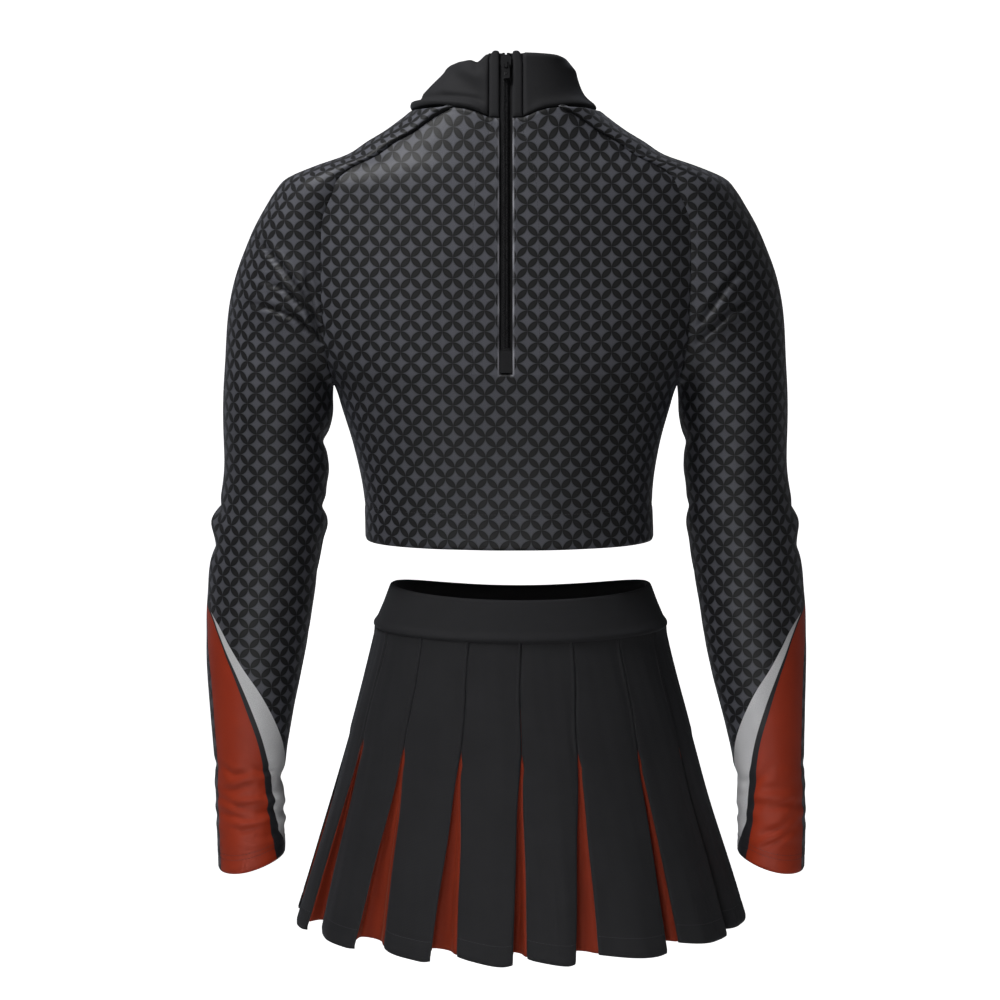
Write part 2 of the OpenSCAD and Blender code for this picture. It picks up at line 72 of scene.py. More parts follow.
HEM_Z = reach_of("front_panel", 2, False)
HEM_W = 251.0
HEM_D = 176.0
PIT_Z = -238.0
CHEST_W = 297.0
BUST_D = reach_of("front_panel", 1, True)
SHOULDER_W = 378.0
NECK_W = 160.0
NECK_BACK = 66.0
NECK_FRONT = 60.0
COLLAR_H = 47.0
ZIP_DROP = 221.0
ZIP_WINDOW = 11.2
ZIP_TILT = math.radians(9.1)
WAIST_Z = reach_of("waistband_outer", 2, True)
SKIRT_HEM_Z = reach_of("skirt_panel_01", 2, False)
SKIRT_LEN = WAIST_Z - SKIRT_HEM_Z
BAND_Z = WAIST_Z - 35.0
RELEASE_Z = WAIST_Z - 130.0
WAIST_W = 228.0
SKIRT_HEM_W = 394.0
PLEAT_GAP = 24.0
PANELS = 16
SQUARE = 2.4
print("top hem", round(HEM_Z), "bust", round(BUST_D), "waist", round(WAIST_Z),
      "skirt hem", round(SKIRT_HEM_Z))


def add_object(name, data):
    obj = bpy.data.objects.new(name, data)
    bpy.context.scene.collection.objects.link(obj)
    return obj


# %% Smooth curves through stations
def mix(a, b, s):
    return a + (b - a) * s


def smooth(stations, x):
    """An even curve through [place, value] stations, at one or many places."""
    t = np.asarray(stations, float)
    p, v = t[:, 0], t[:, 1]
    n = len(p)
    before = np.maximum(np.arange(n) - 1, 0)
    after = np.minimum(np.arange(n) + 1, n - 1)
    slope = (v[after] - v[before]) / (p[after] - p[before])
    x = np.clip(np.asarray(x, float), p[0], p[-1])
    i = np.clip(np.searchsorted(p, x, side="right") - 1, 0, n - 2)
    h = p[i + 1] - p[i]
    s = (x - p[i]) / h
    return (v[i] * (1 + 2 * s) * (1 - s) ** 2 + v[i + 1] * s ** 2 * (3 - 2 * s)
            + h * slope[i] * s * (1 - s) ** 2 - h * slope[i + 1] * s ** 2 * (1 - s))


def step(low, high, x):
    """0 below low, 1 above high and smooth between."""
    s = np.clip((np.asarray(x, float) - low) / (high - low), 0, 1)
    return s * s * (3 - 2 * s)


def hump(x, place, width):
    """A bell of height 1 around a place."""
    return np.exp(-((x - place) / width) ** 2)


def lip(distance, width):
    """1 at an edge, falling to 0 at a width from it."""
    return np.clip(1 - distance / width, 0, 1) ** 2


def power(v, p):
    return np.sign(v) * np.abs(v) ** p


def ripple(a, b, seed=0.0):
    """A soft uneven surface from a few crossed waves, about -1 to 1. No two stretches look alike."""
    return (np.sin(a + 1.3 * np.sin(0.7 * b + seed)) + 0.6 * np.sin(1.9 * b - 0.8 * a + 2.1 * seed)
            + 0.4 * np.sin(2.7 * a + 1.7 * b + 3.3 * seed)) / 2


# %% The torso
WAIST_RUN = PIT_Z - HEM_Z
REACH = SHOULDER_W / 2 - 1
BODY_WIDTHS = [
    (HEM_Z, HEM_W / 2),
    (HEM_Z + 0.31 * WAIST_RUN, mix(HEM_W, CHEST_W, 0.02) / 2),
    (HEM_Z + 0.61 * WAIST_RUN, mix(HEM_W, CHEST_W, 0.33) / 2),
    (HEM_Z + 0.87 * WAIST_RUN, mix(HEM_W, CHEST_W, 0.76) / 2),
    (PIT_Z, CHEST_W / 2),
    (PIT_Z * 0.95, mix(CHEST_W / 2, REACH, 0.19)),
    (PIT_Z * 0.89, mix(CHEST_W / 2, REACH, 0.44)),
    (PIT_Z * 0.81, mix(CHEST_W / 2, REACH, 0.70)),
    (PIT_Z * 0.67, mix(CHEST_W / 2, REACH, 0.92)),
    (PIT_Z * 0.50, REACH),
    (PIT_Z * 0.28, REACH),
    (PIT_Z * 0.244, mix(NECK_W / 2, REACH, 0.944)),
    (PIT_Z * 0.20, mix(NECK_W / 2, REACH, 0.76)),
    (PIT_Z * 0.16, mix(NECK_W / 2, REACH, 0.528)),
    (PIT_Z * 0.113, mix(NECK_W / 2, REACH, 0.366)),
    (PIT_Z * 0.071, mix(NECK_W / 2, REACH, 0.213)),
    (0, NECK_W / 2),
]


def zip_line(z):
    """Depth of the centre back at a height: a straight line, so that the zip lies straight."""
    return NECK_BACK - z * math.tan(ZIP_TILT)


ZIP_END = zip_line(-ZIP_DROP)
BACK_DEPTHS = [
    (HEM_Z, HEM_D / 2),
    (mix(HEM_Z, -ZIP_DROP, 0.27), mix(HEM_D / 2, ZIP_END, 0.24)),
    (mix(HEM_Z, -ZIP_DROP, 0.54), mix(HEM_D / 2, ZIP_END, 0.57)),
    (mix(HEM_Z, -ZIP_DROP, 0.80), mix(HEM_D / 2, ZIP_END, 0.87)),
    (-ZIP_DROP, ZIP_END),
]
FRONT_DEPTHS = [
    (HEM_Z, HEM_D / 2),
    (HEM_Z + 0.31 * WAIST_RUN, mix(HEM_D / 2, BUST_D, 0.08)),
    (HEM_Z + 0.61 * WAIST_RUN, mix(HEM_D / 2, BUST_D, 0.28)),
    (HEM_Z + 0.87 * WAIST_RUN, mix(HEM_D / 2, BUST_D, 0.60)),
    (PIT_Z * 0.92, mix(HEM_D / 2, BUST_D, 0.88)),
    (PIT_Z * 0.78, BUST_D),
    (PIT_Z * 0.63, mix(NECK_FRONT, BUST_D, 0.94)),
    (PIT_Z * 0.42, mix(NECK_FRONT, BUST_D, 0.72)),
    (PIT_Z * 0.25, mix(NECK_FRONT, BUST_D, 0.45)),
    (PIT_Z * 0.12, mix(NECK_FRONT, BUST_D, 0.24)),
    (0, NECK_FRONT),
]
SLOPE_Z = -60.0
BACK_DIP = 4.0
FRONT_DIP = 18.0


def fade(z):
    return np.where(np.asarray(z) > SLOPE_Z, (1 - np.asarray(z) / SLOPE_Z) ** 2, 0.0)


def dip(y, z):
    """How far the neckline's curve pulls a point down."""
    back = BACK_DIP * (y / NECK_BACK) ** 2
    front = FRONT_DIP * (y / NECK_FRONT) ** 2
    return -fade(z) * np.where(y < 0, back, front)


def body_point(z, side):
    """Points of the torso. side is in degrees: 0 at the centre back, 90 at the wearer's right."""
    z, side = np.broadcast_arrays(np.asarray(z, float), np.radians(side))
    w = smooth(BODY_WIDTHS, z)
    zb = z - BACK_DIP * fade(z)
    back = np.where(zb > -ZIP_DROP, zip_line(zb), smooth(BACK_DEPTHS, zb))
    d = np.where(np.cos(side) > 0, back, smooth(FRONT_DEPTHS, z))
    x = w * power(np.sin(side), 2 / SQUARE)
    y = -d * power(np.cos(side), 2 / SQUARE)
    return np.stack([x, y, z + dip(y, z)], -1)


def side_at(share):
    return np.degrees(np.arcsin(np.minimum(share, 1) ** (SQUARE / 2)))


SEAM_SHARES = [(0, 0.55), (0.05, 0.69), (0.11, 0.78), (0.19, 0.79), (0.28, 0.775), (0.387, 0.823),
               (0.67, 0.846), (0.81, 0.88), (0.89, 0.92), (0.95, 0.96), (1, 1)]


def seam_z(u):
    return PIT_Z * (1 + np.cos(math.pi * np.asarray(u, float))) / 2


def panel_side(z):
    """The side angle of a panel's edge: the side seam, or the raglan seam above the armpit."""
    return np.where(z <= PIT_Z + 0.5, 90.0, side_at(smooth(SEAM_SHARES, z / PIT_Z)))


# %% [markdown]
# ## Cloth from rows and columns
# A sheet is a grid of points. Its flat pattern is kept as a UV map in metres, measured along the cloth
# itself, so that a print or a weave has its real scale and runs straight, as it does on cut cloth.
# Seams are made by tucking the grid's edges inward, which leaves the shadowed groove of a real seam.

# %% Grid helpers
def grid_normals(g, closed=False):
    """Unit normals of a grid, pointing out of the garment."""
    if closed:
        du = np.roll(g, -1, 1) - np.roll(g, 1, 1)
    else:
        du = np.gradient(g, axis=1)
    n = np.cross(du, np.gradient(g, axis=0))
    return n / np.maximum(np.linalg.norm(n, axis=-1, keepdims=True), 1e-9)


def run_along(g, axis):
    """Distance along the rows (axis 1) or up the columns (axis 0), from the first point."""
    d = np.linalg.norm(np.diff(g, axis=axis), axis=-1)
    zero = np.zeros_like(np.take(d, [0], axis))
    return np.concatenate([zero, np.cumsum(d, axis)], axis)


def from_edges(g):
    """Distances to a grid's left, right, lower and upper edges, measured on the cloth."""
    across = run_along(g, 1)
    up = run_along(g, 0)
    return across, across[:, -1:] - across, up, up[-1:] - up


def cloth_uv(g, middle):
    """The flat pattern in metres: u across from the middle column and v up it."""
    across = run_along(g, 1)
    up = run_along(g, 0)
    u = across - across[:, middle:middle + 1]
    v = np.broadcast_to(up[:, middle:middle + 1], u.shape)
    return np.stack([u, v], -1) * MM


def tuck(distance, depth, width, proud=0.0):
    """Depth of a seam's groove at a distance from it, with the slight welt beside it."""
    s = np.clip(distance / width, 0, 1)
    welt = proud * hump(distance, 1.9 * width, width)
    return depth * (1 - s) ** 2 - welt


def spaced(count, low=0.96, high=0.96):
    """Shares from 0 to 1, with finer steps near the ends so that an edge can turn sharply."""
    t = np.linspace(0, 1, count - 1)
    steps = 1 - low * np.exp(-t / 0.07) - high * np.exp(-(1 - t) / 0.07)
    return np.minimum(1, np.concatenate([[0], np.cumsum(steps)]) / steps.sum())


def allowance(shape, left=False, right=False, top=False, bottom=False, depth=2.2):
    """The strip of cloth past a seam, which turns straight in and closes the groove."""
    out = np.zeros(shape)
    if left:
        out[:, 0] = depth
    if right:
        out[:, -1] = depth
    if top:
        out[-1] = depth
    if bottom:
        out[0] = depth
    return out


THREAD = {"top": [], "skirt": [], "left_arm": [], "right_arm": []}


def row_at(g, height):
    """The row that lies nearest to a height above a sheet's lower edge."""
    up = run_along(g, 0)[:, g.shape[1] // 2]
    return int(np.argmin(np.abs(up - height)))


def sew(body, g, row=None, col=None, part=slice(None), lift=0.12):
    """Notes a line of stitches on the cloth, along one of its rows or columns."""
    raised = g + grid_normals(g) * lift
    line = raised[row, part] if row is not None else raised[part, col]
    THREAD[body].append(line)


NECK_WAVE = [(0, -3.5), (14, -3), (30, 3), (45, 5), (62, 4.5), (80, 0)]


def neck_wave(x, y):
    """How far the collar seam rises above a level line at the back."""
    return smooth(NECK_WAVE, np.abs(x)) * step(-5, 15, -y)


def sheet_mesh(name, g, uv, closed=False, hole=None, fields=None, thickness=1.0, flat_from=None):
    """A cloth piece from a grid in millimetres, with its flat pattern as UVs and a real thickness."""
    rows, cols = g.shape[:2]
    quads = []
    for i in range(rows - 1):
        for j in range(cols - 1):
            if hole is None or not hole[i, j]:
                quads.append((i * cols + j, i * cols + j + 1, (i + 1) * cols + j + 1, (i + 1) * cols + j))
    mesh = bpy.data.meshes.new(name)
    mesh.from_pydata((g.reshape(-1, 3) * MM).tolist(), [], quads)
    layer = mesh.uv_layers.new(name="cut")
    corner = np.empty(len(mesh.loops), int)
    mesh.loops.foreach_get("vertex_index", corner)
    layer.data.foreach_set("uv", uv.reshape(-1, 2)[corner].astype(np.float32).ravel())
    for key, values in (fields or {}).items():
        mesh.attributes.new(key, "FLOAT", "POINT").data.foreach_set(
            "value", np.asarray(values, np.float32).ravel())
    bm = bmesh.new()
    bm.from_mesh(mesh)
    loose = [v for v in bm.verts if not v.link_faces]
    bmesh.ops.delete(bm, geom=loose, context="VERTS")
    if closed:
        bmesh.ops.remove_doubles(bm, verts=bm.verts, dist=1e-5)
    for f in bm.faces:
        f.smooth = True
    bm.to_mesh(mesh)
    bm.free()
    obj = add_object(name, mesh)
    base = g if flat_from is None else flat_from
    across, up = run_along(base, 1), run_along(base, 0)
    cell = np.linalg.norm(np.cross(base[:-1, 1:] - base[:-1, :-1], base[1:, :-1] - base[:-1, :-1]), axis=-1)
    if hole is not None:
        cell = np.where(hole[:rows - 1, :cols - 1], 0, cell)
    if thickness:
        solid = obj.modifiers.new("thickness", "SOLIDIFY")
        solid.thickness = thickness * MM
        solid.offset = -1
        solid.use_even_offset = False
    return obj


def finish_cloth(obj, body, nodes, material, blend=None):
    """Gives a sheet its material, hangs it on its body, or with blend bakes it in place, and hides the CAD
    solids that it stands for.
    """
    obj.data.materials.clear()
    obj.data.materials.append(material)
    if blend:
        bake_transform(obj)
    else:
        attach(obj, body)
    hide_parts(*nodes)


# %% [markdown]
# ## Finishes
# The cloth is a warp knit: at arm's length it shows as a fine, slightly uneven grain. One node group
# makes that grain for every cloth. The top's print is a lattice of circles, half a repeat apart, whose
# overlaps are dark petals with pale four-pointed stars between them, so a second group draws circles.

# %% Node helpers
def group_tree(name, inputs, outputs):
    tree = bpy.data.node_groups.new(name, "ShaderNodeTree")
    for label, kind, value in inputs:
        socket = tree.interface.new_socket(name=label, in_out="INPUT", socket_type=kind)
        if value is not None:
            socket.default_value = value
    for label, kind in outputs:
        tree.interface.new_socket(name=label, in_out="OUTPUT", socket_type=kind)
    return tree, tree.nodes.new("NodeGroupInput"), tree.nodes.new("NodeGroupOutput")


def feed(tree, socket, value):
    """Sets a socket to a number or a tuple, or links another node's output to it."""
    if isinstance(value, (int, float, tuple)):
        socket.default_value = value
    elif value is not None:
        tree.links.new(value, socket)


def math_node(tree, operation, a, b=None):
    node = tree.nodes.new("ShaderNodeMath")
    node.operation = operation
    feed(tree, node.inputs[0], a)
    feed(tree, node.inputs[1], b)
    return node.outputs[0]


def vector_node(tree, operation, a, b=None):
    node = tree.nodes.new("ShaderNodeVectorMath")
    node.operation = operation
    feed(tree, node.inputs[0], a)
    feed(tree, node.inputs[1], b)
    return node.outputs["Value" if operation == "LENGTH" else "Vector"]


def scale_vector(tree, vector, factor):
    node = tree.nodes.new("ShaderNodeVectorMath")
    node.operation = "SCALE"
    feed(tree, node.inputs[0], vector)
    feed(tree, node.inputs["Scale"], factor)
    return node.outputs[0]


def ramp_up(tree, value, low, high):
    node = tree.nodes.new("ShaderNodeMapRange")
    node.interpolation_type = "SMOOTHSTEP"
    tree.links.new(value, node.inputs["Value"])
    node.inputs["From Min"].default_value = low
    node.inputs["From Max"].default_value = high
    return node.outputs["Result"]


def mix_colour(tree, factor, a, b):
    node = tree.nodes.new("ShaderNodeMix")
    node.data_type = "RGBA"
    factor_socket, a_socket, b_socket, colour_result = 0, 6, 7, 2
    for key, value in ((factor_socket, factor), (a_socket, a), (b_socket, b)):
        feed(tree, node.inputs[key], value)
    return node.outputs[colour_result]


def linear(r, g, b):
    """A display colour, 0 to 255, as the linear colour that a shader uses."""
    def one(c):
        c = c / 255
        return c / 12.92 if c <= 0.04045 else ((c + 0.055) / 1.055) ** 2.4
    return (one(r), one(g), one(b), 1.0)


# %% The knit's grain
WALES, COURSES = 1100, 800              # columns and rows of stitches in a metre
TURN = 6.283                            # a full turn, in radians
knit, knit_in, knit_out = group_tree(
    "knit_grain",
    [("Vector", "NodeSocketVector", None), ("Fuzz", "NodeSocketFloat", 1.0)],
    [("Tone", "NodeSocketFloat"), ("Height", "NodeSocketFloat")],
)
fine = knit.nodes.new("ShaderNodeTexNoise")
fine.inputs["Scale"].default_value = 1500.0
fine.inputs["Detail"].default_value = 3.0
knit.links.new(knit_in.outputs["Vector"], fine.inputs["Vector"])
cloudy = knit.nodes.new("ShaderNodeTexNoise")
cloudy.inputs["Scale"].default_value = 30.0
cloudy.inputs["Detail"].default_value = 4.0
knit.links.new(knit_in.outputs["Vector"], cloudy.inputs["Vector"])
split = knit.nodes.new("ShaderNodeSeparateXYZ")
knit.links.new(knit_in.outputs["Vector"], split.inputs[0])
wale = math_node(knit, "SINE", math_node(knit, "MULTIPLY", split.outputs[0], TURN * WALES))
course = math_node(knit, "SINE", math_node(knit, "MULTIPLY", split.outputs[1], TURN * COURSES))
both_ways = math_node(knit, "ADD", wale, math_node(knit, "MULTIPLY", course, 0.5))
weave = math_node(knit, "MULTIPLY", both_ways, 0.3)
grain = math_node(knit, "MULTIPLY", math_node(knit, "SUBTRACT", fine.outputs["Fac"], 0.5),
                  knit_in.outputs["Fuzz"])
patch = math_node(knit, "MULTIPLY", math_node(knit, "SUBTRACT", cloudy.outputs["Fac"], 0.5), 0.35)
knit.links.new(math_node(knit, "ADD", math_node(knit, "ADD", grain, patch), 1.0), knit_out.inputs["Tone"])
knit.links.new(math_node(knit, "ADD", weave, grain), knit_out.inputs["Height"])
print("group", knit.name)

# %% The circle lattice
PRINT_REPEAT = 17.8 * MM
CIRCLE_RADIUS = 0.513                   # in repeats
lattice, lattice_in, lattice_out = group_tree(
    "circle_lattice",
    [("Vector", "NodeSocketVector", None), ("Repeat", "NodeSocketFloat", PRINT_REPEAT),
     ("Radius", "NodeSocketFloat", CIRCLE_RADIUS)],
    [("Petal", "NodeSocketFloat"), ("Core", "NodeSocketFloat"), ("Rim", "NodeSocketFloat")],
)
in_repeats = scale_vector(lattice, lattice_in.outputs["Vector"],
                          math_node(lattice, "DIVIDE", 1.0, lattice_in.outputs["Repeat"]))


def circle_distance(shift):
    """Distance from the nearest circle's centre, in repeats."""
    moved = vector_node(lattice, "ADD", in_repeats, (shift, shift, 0))
    part = vector_node(lattice, "FRACTION", moved)
    centred = vector_node(lattice, "SUBTRACT", part, (0.5, 0.5, 0))
    return vector_node(lattice, "LENGTH", vector_node(lattice, "MULTIPLY", centred, (1, 1, 0)))


inside = math_node(lattice, "MINIMUM",
                   math_node(lattice, "SUBTRACT", lattice_in.outputs["Radius"], circle_distance(0.5)),
                   math_node(lattice, "SUBTRACT", lattice_in.outputs["Radius"], circle_distance(0.0)))
lattice.links.new(ramp_up(lattice, inside, 0.0, 0.03), lattice_out.inputs["Petal"])
lattice.links.new(ramp_up(lattice, inside, 0.045, 0.085), lattice_out.inputs["Core"])
lattice.links.new(ramp_up(lattice, inside, -0.05, 0.0), lattice_out.inputs["Rim"])
print("group", lattice.name, "repeat", PRINT_REPEAT)


# %% Materials
def object_vector(tree):
    return tree.nodes.new("ShaderNodeTexCoord").outputs["Object"]


def uv_vector(tree):
    node = tree.nodes.new("ShaderNodeUVMap")
    node.uv_map = "cut"
    return node.outputs["UV"]


def place_group(tree, group, vector, **values):
    node = tree.nodes.new("ShaderNodeGroup")
    node.node_tree = group
    tree.links.new(vector, node.inputs["Vector"])
    for key, value in values.items():
        node.inputs[key].default_value = value
    return node


def field(tree, name):
    node = tree.nodes.new("ShaderNodeAttribute")
    node.attribute_name = name
    return node.outputs["Fac"]


def cloth_material(name, paint, roughness=0.8, sheen=0.06, tint=(0.8, 0.85, 1.0, 1.0), bump=0.25, fuzz=1.0,
                   shine=0.22, vector=uv_vector):
    """A knit cloth. paint draws its colour on the flat pattern."""
    material = bpy.data.materials.new(name)
    material.use_nodes = True
    tree = material.node_tree
    shader = tree.nodes["Principled BSDF"]
    place = vector(tree)
    weave_node = place_group(tree, knit, place, Fuzz=fuzz)
    colour = paint(tree, place)
    if isinstance(colour, tuple):
        colour = colour[:3]
    toned = scale_vector(tree, colour, weave_node.outputs["Tone"])
    tree.links.new(toned, shader.inputs["Base Color"])
    shader.inputs["Roughness"].default_value = roughness
    shader.inputs["Sheen Weight"].default_value = sheen
    shader.inputs["Sheen Roughness"].default_value = 0.4
    shader.inputs["Sheen Tint"].default_value = tint
    shader.inputs["Specular IOR Level"].default_value = shine
    raised = tree.nodes.new("ShaderNodeBump")
    raised.inputs["Strength"].default_value = bump
    raised.inputs["Distance"].default_value = 0.0004
    tree.links.new(weave_node.outputs["Height"], raised.inputs["Height"])
    tree.links.new(raised.outputs["Normal"], shader.inputs["Normal"])
    return material


STAR = linear(82, 83, 90)
STAR_RIM = linear(68, 69, 74)
PETAL = linear(14, 14, 15)
PETAL_CORE = linear(27, 27, 28)
BLACK = linear(36, 36, 38)
ORANGE = linear(158, 50, 22)
WHITE = linear(208, 208, 210)
PALE_EDGE = linear(170, 170, 178)
STRIPE = linear(38, 38, 41)
# Painted shade for the sleeves' deep creases: the near-black colour they are pulled towards, and how far at
# most.
CREASE_SHADE_COLOUR = linear(6, 6, 7)
CREASE_SHADE_STRENGTH = 0.62
DYE_EDGE = 0.25                         # half the width in which one dye runs into the next, in millimetres


def print_colour(tree, place):
    circles = place_group(tree, lattice, place)
    colour = mix_colour(tree, circles.outputs["Rim"], STAR, STAR_RIM)
    colour = mix_colour(tree, circles.outputs["Petal"], colour, PETAL)
    return mix_colour(tree, circles.outputs["Core"], colour, PETAL_CORE)


def panel_colour(tree, place):
    """The print, with the pale undyed line where the cloth folds at the zip."""
    return mix_colour(tree, field(tree, "fold"), print_colour(tree, place), PALE_EDGE)


def sleeve_colour_with_crease_shade(tree, place):
    """The flash over the print, with painted shade: darker where a sharp crease lets little light in."""
    depth = math_node(tree, "MULTIPLY", field(tree, "crease_shade"), CREASE_SHADE_STRENGTH)
    return mix_colour(tree, depth, flash_colour(tree, place), CREASE_SHADE_COLOUR)


def flash_colour(tree, place):
    """The print, then the white flash, the black stripe, the orange flash and the printed strip over it."""
    def dye(name, below, above):
        inside_edge = ramp_up(tree, field(tree, name), -DYE_EDGE, DYE_EDGE)
        return mix_colour(tree, inside_edge, below, above)
    colour = dye("white_in", print_colour(tree, place), WHITE)
    colour = dye("stripe_in", colour, STRIPE)
    colour = dye("orange_in", colour, ORANGE)
    return dye("strip_in", colour, print_colour(tree, place))


printed = cloth_material("printed_knit", panel_colour, roughness=0.5, shine=0.3)
# The sleeve cloth carries painted shade in its deep creases, over the print and the flash.
sleeve_cloth = cloth_material("printed_sleeve_knit_crease_shade", sleeve_colour_with_crease_shade, roughness=0.5, shine=0.3)
black_knit = cloth_material("black_knit", lambda tree, place: BLACK, roughness=0.8)
orange_knit = cloth_material("orange_knit", lambda tree, place: linear(122, 39, 16), roughness=0.75,
                             tint=(1.0, 0.6, 0.4, 1.0))
plain_black = cloth_material("black_knit_patch", lambda tree, place: linear(30, 30, 32), vector=object_vector)
woven_tape = cloth_material("zip_tape_weave", lambda tree, place: linear(24, 24, 26), roughness=0.7,
                            sheen=0.1, bump=0.6, vector=object_vector)
coil_nylon = cloth_material("coil_nylon", lambda tree, place: linear(24, 24, 26), roughness=0.42, sheen=0.0,
                            bump=0.1, fuzz=0.3, vector=object_vector)
thread_black = cloth_material("sewing_thread", lambda tree, place: linear(58, 58, 62), roughness=0.6,
                              bump=0.4, vector=object_vector)
elastic_white = cloth_material("elastic_rib", lambda tree, place: linear(200, 200, 196), roughness=0.85,
                               bump=0.6)


def lacquer(name, colour, roughness):
    """Black lacquered metal: smooth, with faint wear that shows as rougher, paler patches."""
    material = bpy.data.materials.new(name)
    material.use_nodes = True
    tree = material.node_tree
    shader = tree.nodes["Principled BSDF"]
    tone = place_group(tree, knit, object_vector(tree), Fuzz=0.6).outputs["Tone"]
    tree.links.new(scale_vector(tree, colour[:3], tone), shader.inputs["Base Color"])
    tree.links.new(math_node(tree, "MULTIPLY", tone, roughness), shader.inputs["Roughness"])
    shader.inputs["Metallic"].default_value = 0.4
    return material


black_lacquer = lacquer("black_lacquer", linear(34, 34, 36), 0.38)
print("materials", len(bpy.data.materials))

# %% [markdown]
# ## The top's back and front
# The back is one piece, slit down the middle for the zip. Its two cut edges roll under, and where they
# fold, the undyed heart of the printed cloth shows as a thin pale line.

# %% Back panel
HALF_COLS = 56
MID_COLS = 4
LOW_ROWS = 52
HIGH_ROWS = 108


def panel_rows():
    low = np.linspace(HEM_Z, PIT_Z, LOW_ROWS, endpoint=False)
    return np.concatenate([low, seam_z(np.linspace(0, 1, HIGH_ROWS))])


def press(g, n, depth):
    return g - n * np.asarray(depth)[..., None]


def folds_of_the_torso(g, seed):
    """Soft drags down the sides and across the waist."""
    x, z = g[..., 0], g[..., 2]
    low = step(-230, -330, z)
    return 1.0 * low * ripple(x / 22, z / 60, seed) + 0.5 * (1 - low) * ripple(x / 34, z / 45, seed + 2)


def worn(g, shift=3.5, high=250, low=371):
    """The set of the cloth on this wearer: its lower end hangs to the right and its neck seam waves."""
    g = g.copy()
    g[..., 0] += shift * step(high, low, -g[..., 2])
    g[..., 2] += neck_wave(g[..., 0], g[..., 1]) * step(-38, -2, g[..., 2])
    return g


def hem_shape(up):
    """The turned hem: a slightly thicker band with a soft dent where it is stitched down."""
    return 0.5 * hump(up, 31, 2.2) - 0.35 * step(30, 24, up) + 0.9 * lip(up, 1.8)


rows_z = panel_rows()
rows_z[np.argmin(np.abs(rows_z + ZIP_DROP))] = -ZIP_DROP
slot_row = int(np.argmin(np.abs(rows_z + ZIP_DROP)))
edge = panel_side(rows_z)
slot = side_at(ZIP_WINDOW / 2 / smooth(BODY_WIDTHS, rows_z))
right = slot[:, None] + (edge - slot)[:, None] * spaced(HALF_COLS)[None, :]
middle = slot[:, None] * np.linspace(-1, 1, MID_COLS + 1)[None, 1:-1]
sides = np.concatenate([-right[:, ::-1], middle, right], 1)
back = body_point(rows_z[:, None], sides)
normals = grid_normals(back)
uv = cloth_uv(back, sides.shape[1] // 2)
left_d, right_d, low_d, high_d = from_edges(back)
seam_d = np.minimum(left_d, right_d)
slot_d = np.abs(back[..., 0]) - ZIP_WINDOW / 2
in_slot = step(-ZIP_DROP - 3, -ZIP_DROP + 1, back[..., 2]) * (slot_d > -0.01)
depth = tuck(seam_d, 0.12, 1.0, 0.08) + tuck(high_d, 0.8, 2.0, 0.2) + hem_shape(low_d)
depth = depth + allowance(seam_d.shape, top=True)
depth = depth + in_slot * tuck(np.abs(slot_d), 0.5, 0.8, 0.25) - folds_of_the_torso(back, 0.4)
puckers = 0.22 * np.sin(back[..., 2] / 2.1) * np.exp(-np.abs(slot_d) / 7) * in_slot
depth = depth - puckers
hole = np.zeros((len(rows_z), sides.shape[1]), bool)
hole[slot_row:, HALF_COLS - 1:HALF_COLS - 1 + MID_COLS] = True
fold = in_slot * hump(np.abs(slot_d), 0, 0.8) * (0.55 + 0.4 * np.sin(back[..., 2] / 7.0))
depth = depth + in_slot * 0.35 * hump(slot_d, 8.9, 0.8)
shaped = worn(press(back, normals, depth))
back_panel = sheet_mesh("back_cloth", shaped, uv, hole=hole, flat_from=back, fields={"fold": fold})
hem_row = row_at(back, 32)
sew("top", shaped, row=hem_row, part=slice(2, -2))
stitch_col = int(np.argmin(np.abs(back[-20, :, 0] - 14.5)))
for col in (stitch_col, sides.shape[1] - 1 - stitch_col):
    sew("top", shaped, col=col, part=slice(slot_row - 4, len(rows_z) - 2))
finish_cloth(back_panel, "top", ["back_panel"], printed)
print("back panel", len(back_panel.data.polygons), "faces")

# %% Front panel
sides = 180 - edge[:, None] * (1 - 2 * spaced(2 * HALF_COLS, 0.97, 0.97))[None, :]
front = body_point(rows_z[:, None], sides)
uv = cloth_uv(front, HALF_COLS)
left_d, right_d, low_d, high_d = from_edges(front)
depth = tuck(np.minimum(left_d, right_d), 0.12, 1.0, 0.08) + tuck(high_d, 0.8, 2.0, 0.2) + hem_shape(low_d)
depth = depth + allowance(left_d.shape, top=True)
shaped = worn(press(front, grid_normals(front), depth - folds_of_the_torso(front, 1.7)))
front_panel = sheet_mesh("front_cloth", shaped, uv, flat_from=front,
                         fields={"fold": np.zeros(front.shape[:2])})
sew("top", shaped, row=hem_row, part=slice(2, -2))
finish_cloth(front_panel, "top", ["front_panel"], printed)

# %% [markdown]
# ## Sleeves
# A raglan sleeve is one piece from the collar to the cuff. Its lower part is a tube and its upper part
# opens into a cap that meets the body along the raglan seam. One grid does both: its rows start as
# rings at the cuff, and above the armpit each row ends on the seam instead of closing.

# %% The sleeve's curves
HINGE_X = CHEST_W / 2 + 36.5
HINGE_Z = PIT_Z + 68
RING_R = math.hypot(HINGE_X - CHEST_W / 2 - 2, HINGE_Z - PIT_Z)
SLEEVE_LEN = 430.0
UPPER_ARM_W = 92.0
CUFF_W = 60.0


def down(share):
    return RING_R + SLEEVE_LEN * share


